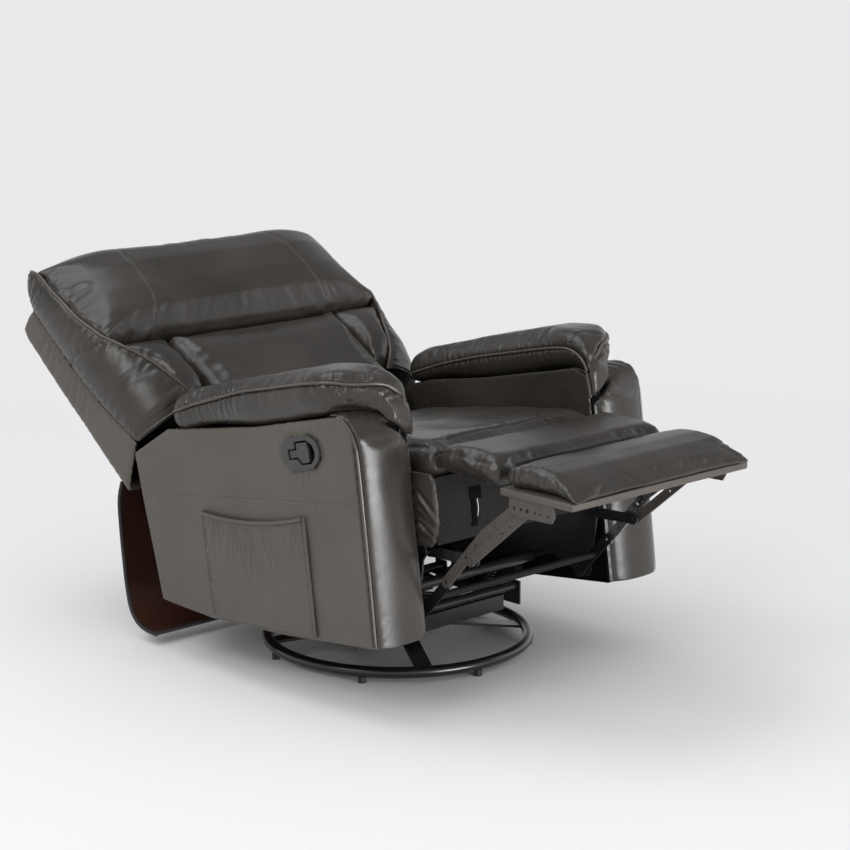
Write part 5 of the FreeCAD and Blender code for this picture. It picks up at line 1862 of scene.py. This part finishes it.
@dataclass
class Seat(Assembly):
    """Cushion, flap, rails, springs and the parts under the front edge."""

    flap_anchor: tuple[float, float, float] = (0.0, -446.0, 455.0)
    flap_axis: tuple[float, float, float] = (0.0, 0.94, 0.34)
    flap_keep: float = 0.18
    flap_rim: Points = ((250, -456, 478), (254, -530, 474), (250, -606, 456))
    cushion_rim: Points = ((236, -425, 488), (240, -200, 494), (238, 60, 488))
    cushion_cross: Points = ((-252, -399, 480), (-150, -400, 494), (150, -400, 494),
                             (252, -399, 480))
    cushion_front: Points = ((-250, -443, 470), (0, -444, 474), (250, -443, 470))
    end: Points = ((-270, 292), (-430, 287), (-441, 294), (-456, 330), (-458, 380), (-456, 424),
                   (-444, 436), (-400, 440), (-270, 440))
    end_skin: tuple[float, float] = (262.4, 269.0)
    end_fold: Points = ((276, -408, 436), (276, -404, 364), (276, -402, 292))
    cushion: Stuffing = Stuffing(7.0, 3, 2.6, 90, shrink=3.0, puff=12.0, fill=0.75)
    flap: Stuffing = Stuffing(6.0, 4, 2.2, 110, shrink=3.0, puff=8.0, fill=0.7)
    end_panel: Stuffing = Stuffing(3.0, 6)

    def build(self) -> None:
        """Make the seat."""
        self._cushion()
        self._flap()
        for name, side in SIDES:
            self._end(name, side)
        self.dress(LINING, "seat_rail_left", "seat_rail_right", "seat_rail_front",
                   "seat_rail_rear")
        self.dress(FELT, "seat_front_board")
        self.dress(ENAMEL, "seat_springs")

    @staticmethod
    def _to_flap(points: np.ndarray) -> np.ndarray:
        """Bring the cushion's front out to the flap."""
        x, y, z = points.T
        return np.column_stack((x, y - 5 * ease(y, -405, -430), z))

    @staticmethod
    def _to_cushion(points: np.ndarray) -> np.ndarray:
        """Bring the flap's rear back to the cushion."""
        x, y, z = points.T
        return np.column_stack((x, y + 3 * ease(y, -475, -455), z))

    def _cushion(self) -> None:
        """The crowned seat cushion."""
        cover = Cover.from_node("seat_cover", "seat_cushion", Frame.CARRIAGE, 51)
        cover.work(self.cushion, form=self._to_flap)
        cover.sew([Seam(self.cushion_cross, Pull(2.4, 3.5, 0.5, 34, 24)),
                   *(Seam(mirrored(self.cushion_rim, side), Pull(2, 6, 0.9, 34, 22))
                     for _, side in SIDES),
                   Seam(self.cushion_front, Pull(2, 5, 0.8, 36, 20))])
        self.bench.finish(cover.obj, LEATHER, "carriage", "leather", ("seat_cushion",),
                          fill=self.cushion.fill)
        self.trim("seat_stitching", THREAD, "carriage",
                  [cover.stitches("seat_row", shifted(self.cushion_cross, y=-5))])

    @staticmethod
    def _swell(points: np.ndarray) -> np.ndarray:
        """Let the end's leather stand out from its frame.

        Args:
            points: vertex places in the drawing, millimetres, one row each.

        Returns:
            The places that they move to.
        """
        x, y, z = points.T
        along = np.clip(1 - ((y + 366) / 96) ** 2, 0, 1)
        upward = np.clip(1 - ((z - 360) / 80) ** 2, 0, 1)
        out = 9 * np.sqrt(along * upward) * ease(np.abs(x), 263, 267)
        return np.column_stack((x + np.sign(x) * out, y, z))

    def _end(self, name: str, side: int) -> None:
        """The gathered leather that closes one end of the seat's front.

        Args:
            name: right or left.
            side: -1 for the sitter's right, 1 for the left.
        """
        low, high = sorted(edge * side for edge in self.end_skin)
        panel = Bench.plate("seat_end_" + name, self.end, low, high, Frame.CARRIAGE)
        cover = Cover("seat_end_" + name, Frame.CARRIAGE, 57 + side).take(panel)
        cover.work(self.end_panel, form=self._swell)
        cover.sew([Seam(mirrored(self.end_fold, side), Pull(0, 5, 5.0, 90, 30), slant=0.7)])
        self.bench.finish(cover.obj, LEATHER, "carriage", "leather")

    def _flap(self) -> None:
        """The padded flap that joins the seat to the footrest."""
        cover = Cover.from_node("flap_cover", "chaise_flap", Frame.CARRIAGE, 55)
        cover.work(self.flap, form=self._to_cushion)
        cover.sew([Seam(mirrored(self.flap_rim, side), Pull(2, 6, 1.0, 34, 22))
                   for _, side in SIDES])
        self.bench.finish(cover.obj, LEATHER, "carriage", "leather", ("chaise_flap",),
                          fill=self.flap.fill)
        anchor = Frame.CARRIAGE.place([self.flap_anchor])[0]
        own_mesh(cover.obj)


@dataclass
class Footrest(Assembly):
    """The padded board at the end of the linkage."""

    taper: Points = ((-156, 0.12), (-145, 0.34), (-125, 0.64), (-90, 0.9), (-50, 1.0))
    board_top: float = 34.0
    rim: Points = ((252, 20, 66), (256, -60, 70), (250, -145, 40))
    board_low: tuple[float, float, float] = (-261, -156.6, 20)
    board_high: tuple[float, float, float] = (261, 36, 34.4)
    board_row: Points = ((-254, -157, 31), (0, -157, 31), (254, -157, 31))
    pad: Stuffing = Stuffing(5.0, 3, 2.0, 80, shrink=2.5, puff=9.0, fill=0.7)

    def _form(self, points: np.ndarray) -> np.ndarray:
        """Run the pad out to nothing at the board's front edge.

        Args:
            points: vertex places in the drawing, millimetres, one row each.

        Returns:
            The places that they move to.
        """
        x, y, z = points.T
        share = np.interp(y, *zip(*self.taper))
        x = x * (1 + 0.07 * ease(y, -125, -155))
        y = y - 13 * ease(y, -120, -150)
        top = self.board_top
        return np.column_stack((x, y, np.where(z > top, top + (z - top) * share, z)))

    def build(self) -> None:
        """Make the footrest."""
        cover = Cover.from_node("footrest_cover", "ottoman_pad", Frame.FOOTREST, 61)
        cover.work(self.pad, form=self._form)
        cover.sew([Seam(mirrored(self.rim, side), Pull(2, 6, 1.8, 38, 17)) for _, side in SIDES])
        self.bench.finish(cover.obj, LEATHER, "ottoman", "leather", ("ottoman_pad",),
                          fill=self.pad.fill)
        board = Bench.block("footrest_wrap", self.board_low, self.board_high, Frame.FOOTREST,
                            2.5, 3)
        # The board's wrap uses the lighter copy of the leather: painted light.
        self.bench.finish(board, LEATHER_LIT, "ottoman", "leather", ("ottoman_board",))
        wrap = Cover("footrest_wrap", Frame.FOOTREST, 63).take(board)
        self.trim("footrest_stitching", THREAD, "ottoman",
                  [wrap.stitches("footrest_row", self.board_row)])
        self.dress(LINK_PAINT, "ottoman_brackets")


@dataclass
class Linkage(Assembly):
    """Side plates, links and tubes of the reclining mechanism."""

    link_bolts: Points = ((-606.0, 314.1), (-517.0, 259.0))
    bolt_ends: tuple[float, float] = (251, 254.2)
    bolt_radius: float = 6.0
    buckle: Points = ((-168, -448.6, 366), (-135, -446.2, 392))
    strap: Points = ((-166, -448.0, 312), (-152, -446.4, 370))
    wire: Points = ((-147, -447.2, 366), (-146, -447.2, 345), (-151, -447.2, 330))
    wire_radius: float = 0.7

    def build(self) -> None:
        """Dress the linkage."""
        self.dress(ENAMEL, "side_plate_left", "side_plate_right", "front_cross_tube",
                   "rear_cross_tube", "rear_links", "plate_pins")
        self.dress(OXIDE, "drive_links")
        self.dress(LINK_PAINT, "long_link_right", "short_links")
        self.dress(ZINC, "long_link_left")
        self._bolts()
        self._strap()

    def _bolts(self) -> None:
        """Hexagon heads on the short links."""
        heads = [Bench.rod("link_bolts", *((end * side, y, z) for end in self.bolt_ends),
                           self.bolt_radius, Frame.CARRIAGE)
                 for _, side in SIDES for y, z in self.link_bolts]
        self.bench.finish(Bench.join("link_bolts", heads), LINK_PAINT, "short_links", "link_steel",
                          angle=30)

    def _strap(self) -> None:
        """The elastic strap and the thin wire that hang before the seat's front board."""
        pad = Bench.block("strap_pad", *self.buckle, Frame.CARRIAGE, 0.8)
        band = Bench.block("strap_band", *self.strap, Frame.CARRIAGE, 0.5)
        self.bench.finish(Bench.join("front_strap", [pad, band]), LINING, "carriage", "lining")
        wire = Bench.line("front_wire", Frame.CARRIAGE.place(self.wire), self.wire_radius, step=5)
        self.bench.finish(wire, ZINC, "carriage", "spring_steel")


@dataclass
class Base(Assembly):
    """Floor ring, swivel and rocking track."""

    spring_foot: tuple[float, float, float] = (0, 0, 108)
    spring_head: tuple[float, float, float] = (0, 0, 150)

    def build(self) -> None:
        """Dress the base and the turret."""
        self.dress(ENAMEL, "base_ring", "base_spider", "swivel_lower_plate", "swivel_bearing",
                   "swivel_upper_plate", "turret_rail_front", "turret_rail_rear", "turret_tubes",
                   "rocker_rail_left", "rocker_rail_right", "rocker_cam_left", "rocker_cam_right")
        self.dress(GLIDE, "base_glides")
        self.dress(ZINC, "king_bolt")
        self._springs()

    def _springs(self) -> None:
        """The coil springs, copied from the frame's node and dressed."""
        cover = Cover.from_node("rocker_coils", "rocker_springs", Frame.FLOOR, 71)
        self.bench.finish(cover.obj, ENAMEL, "", "spring_steel", ("rocker_springs",))
        low, high = Frame.FLOOR.place([self.spring_foot, self.spring_head])
        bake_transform(cover.obj)


def main() -> None:
    """Build every sub-assembly in order."""
    logging.basicConfig(level=logging.INFO, format="%(name)s %(message)s")
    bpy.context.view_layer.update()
    Studio().build()
    bench = Bench(Palette())
    arms = [Arm(bench, name, side) for name, side in SIDES]
    for assembly in (Base(bench), Linkage(bench), Seat(bench), Footrest(bench), *arms,
                     Pocket(bench), Release(bench), Back(bench), Apron(bench)):
        assembly.build()


if __name__ == "__main__":
    main()
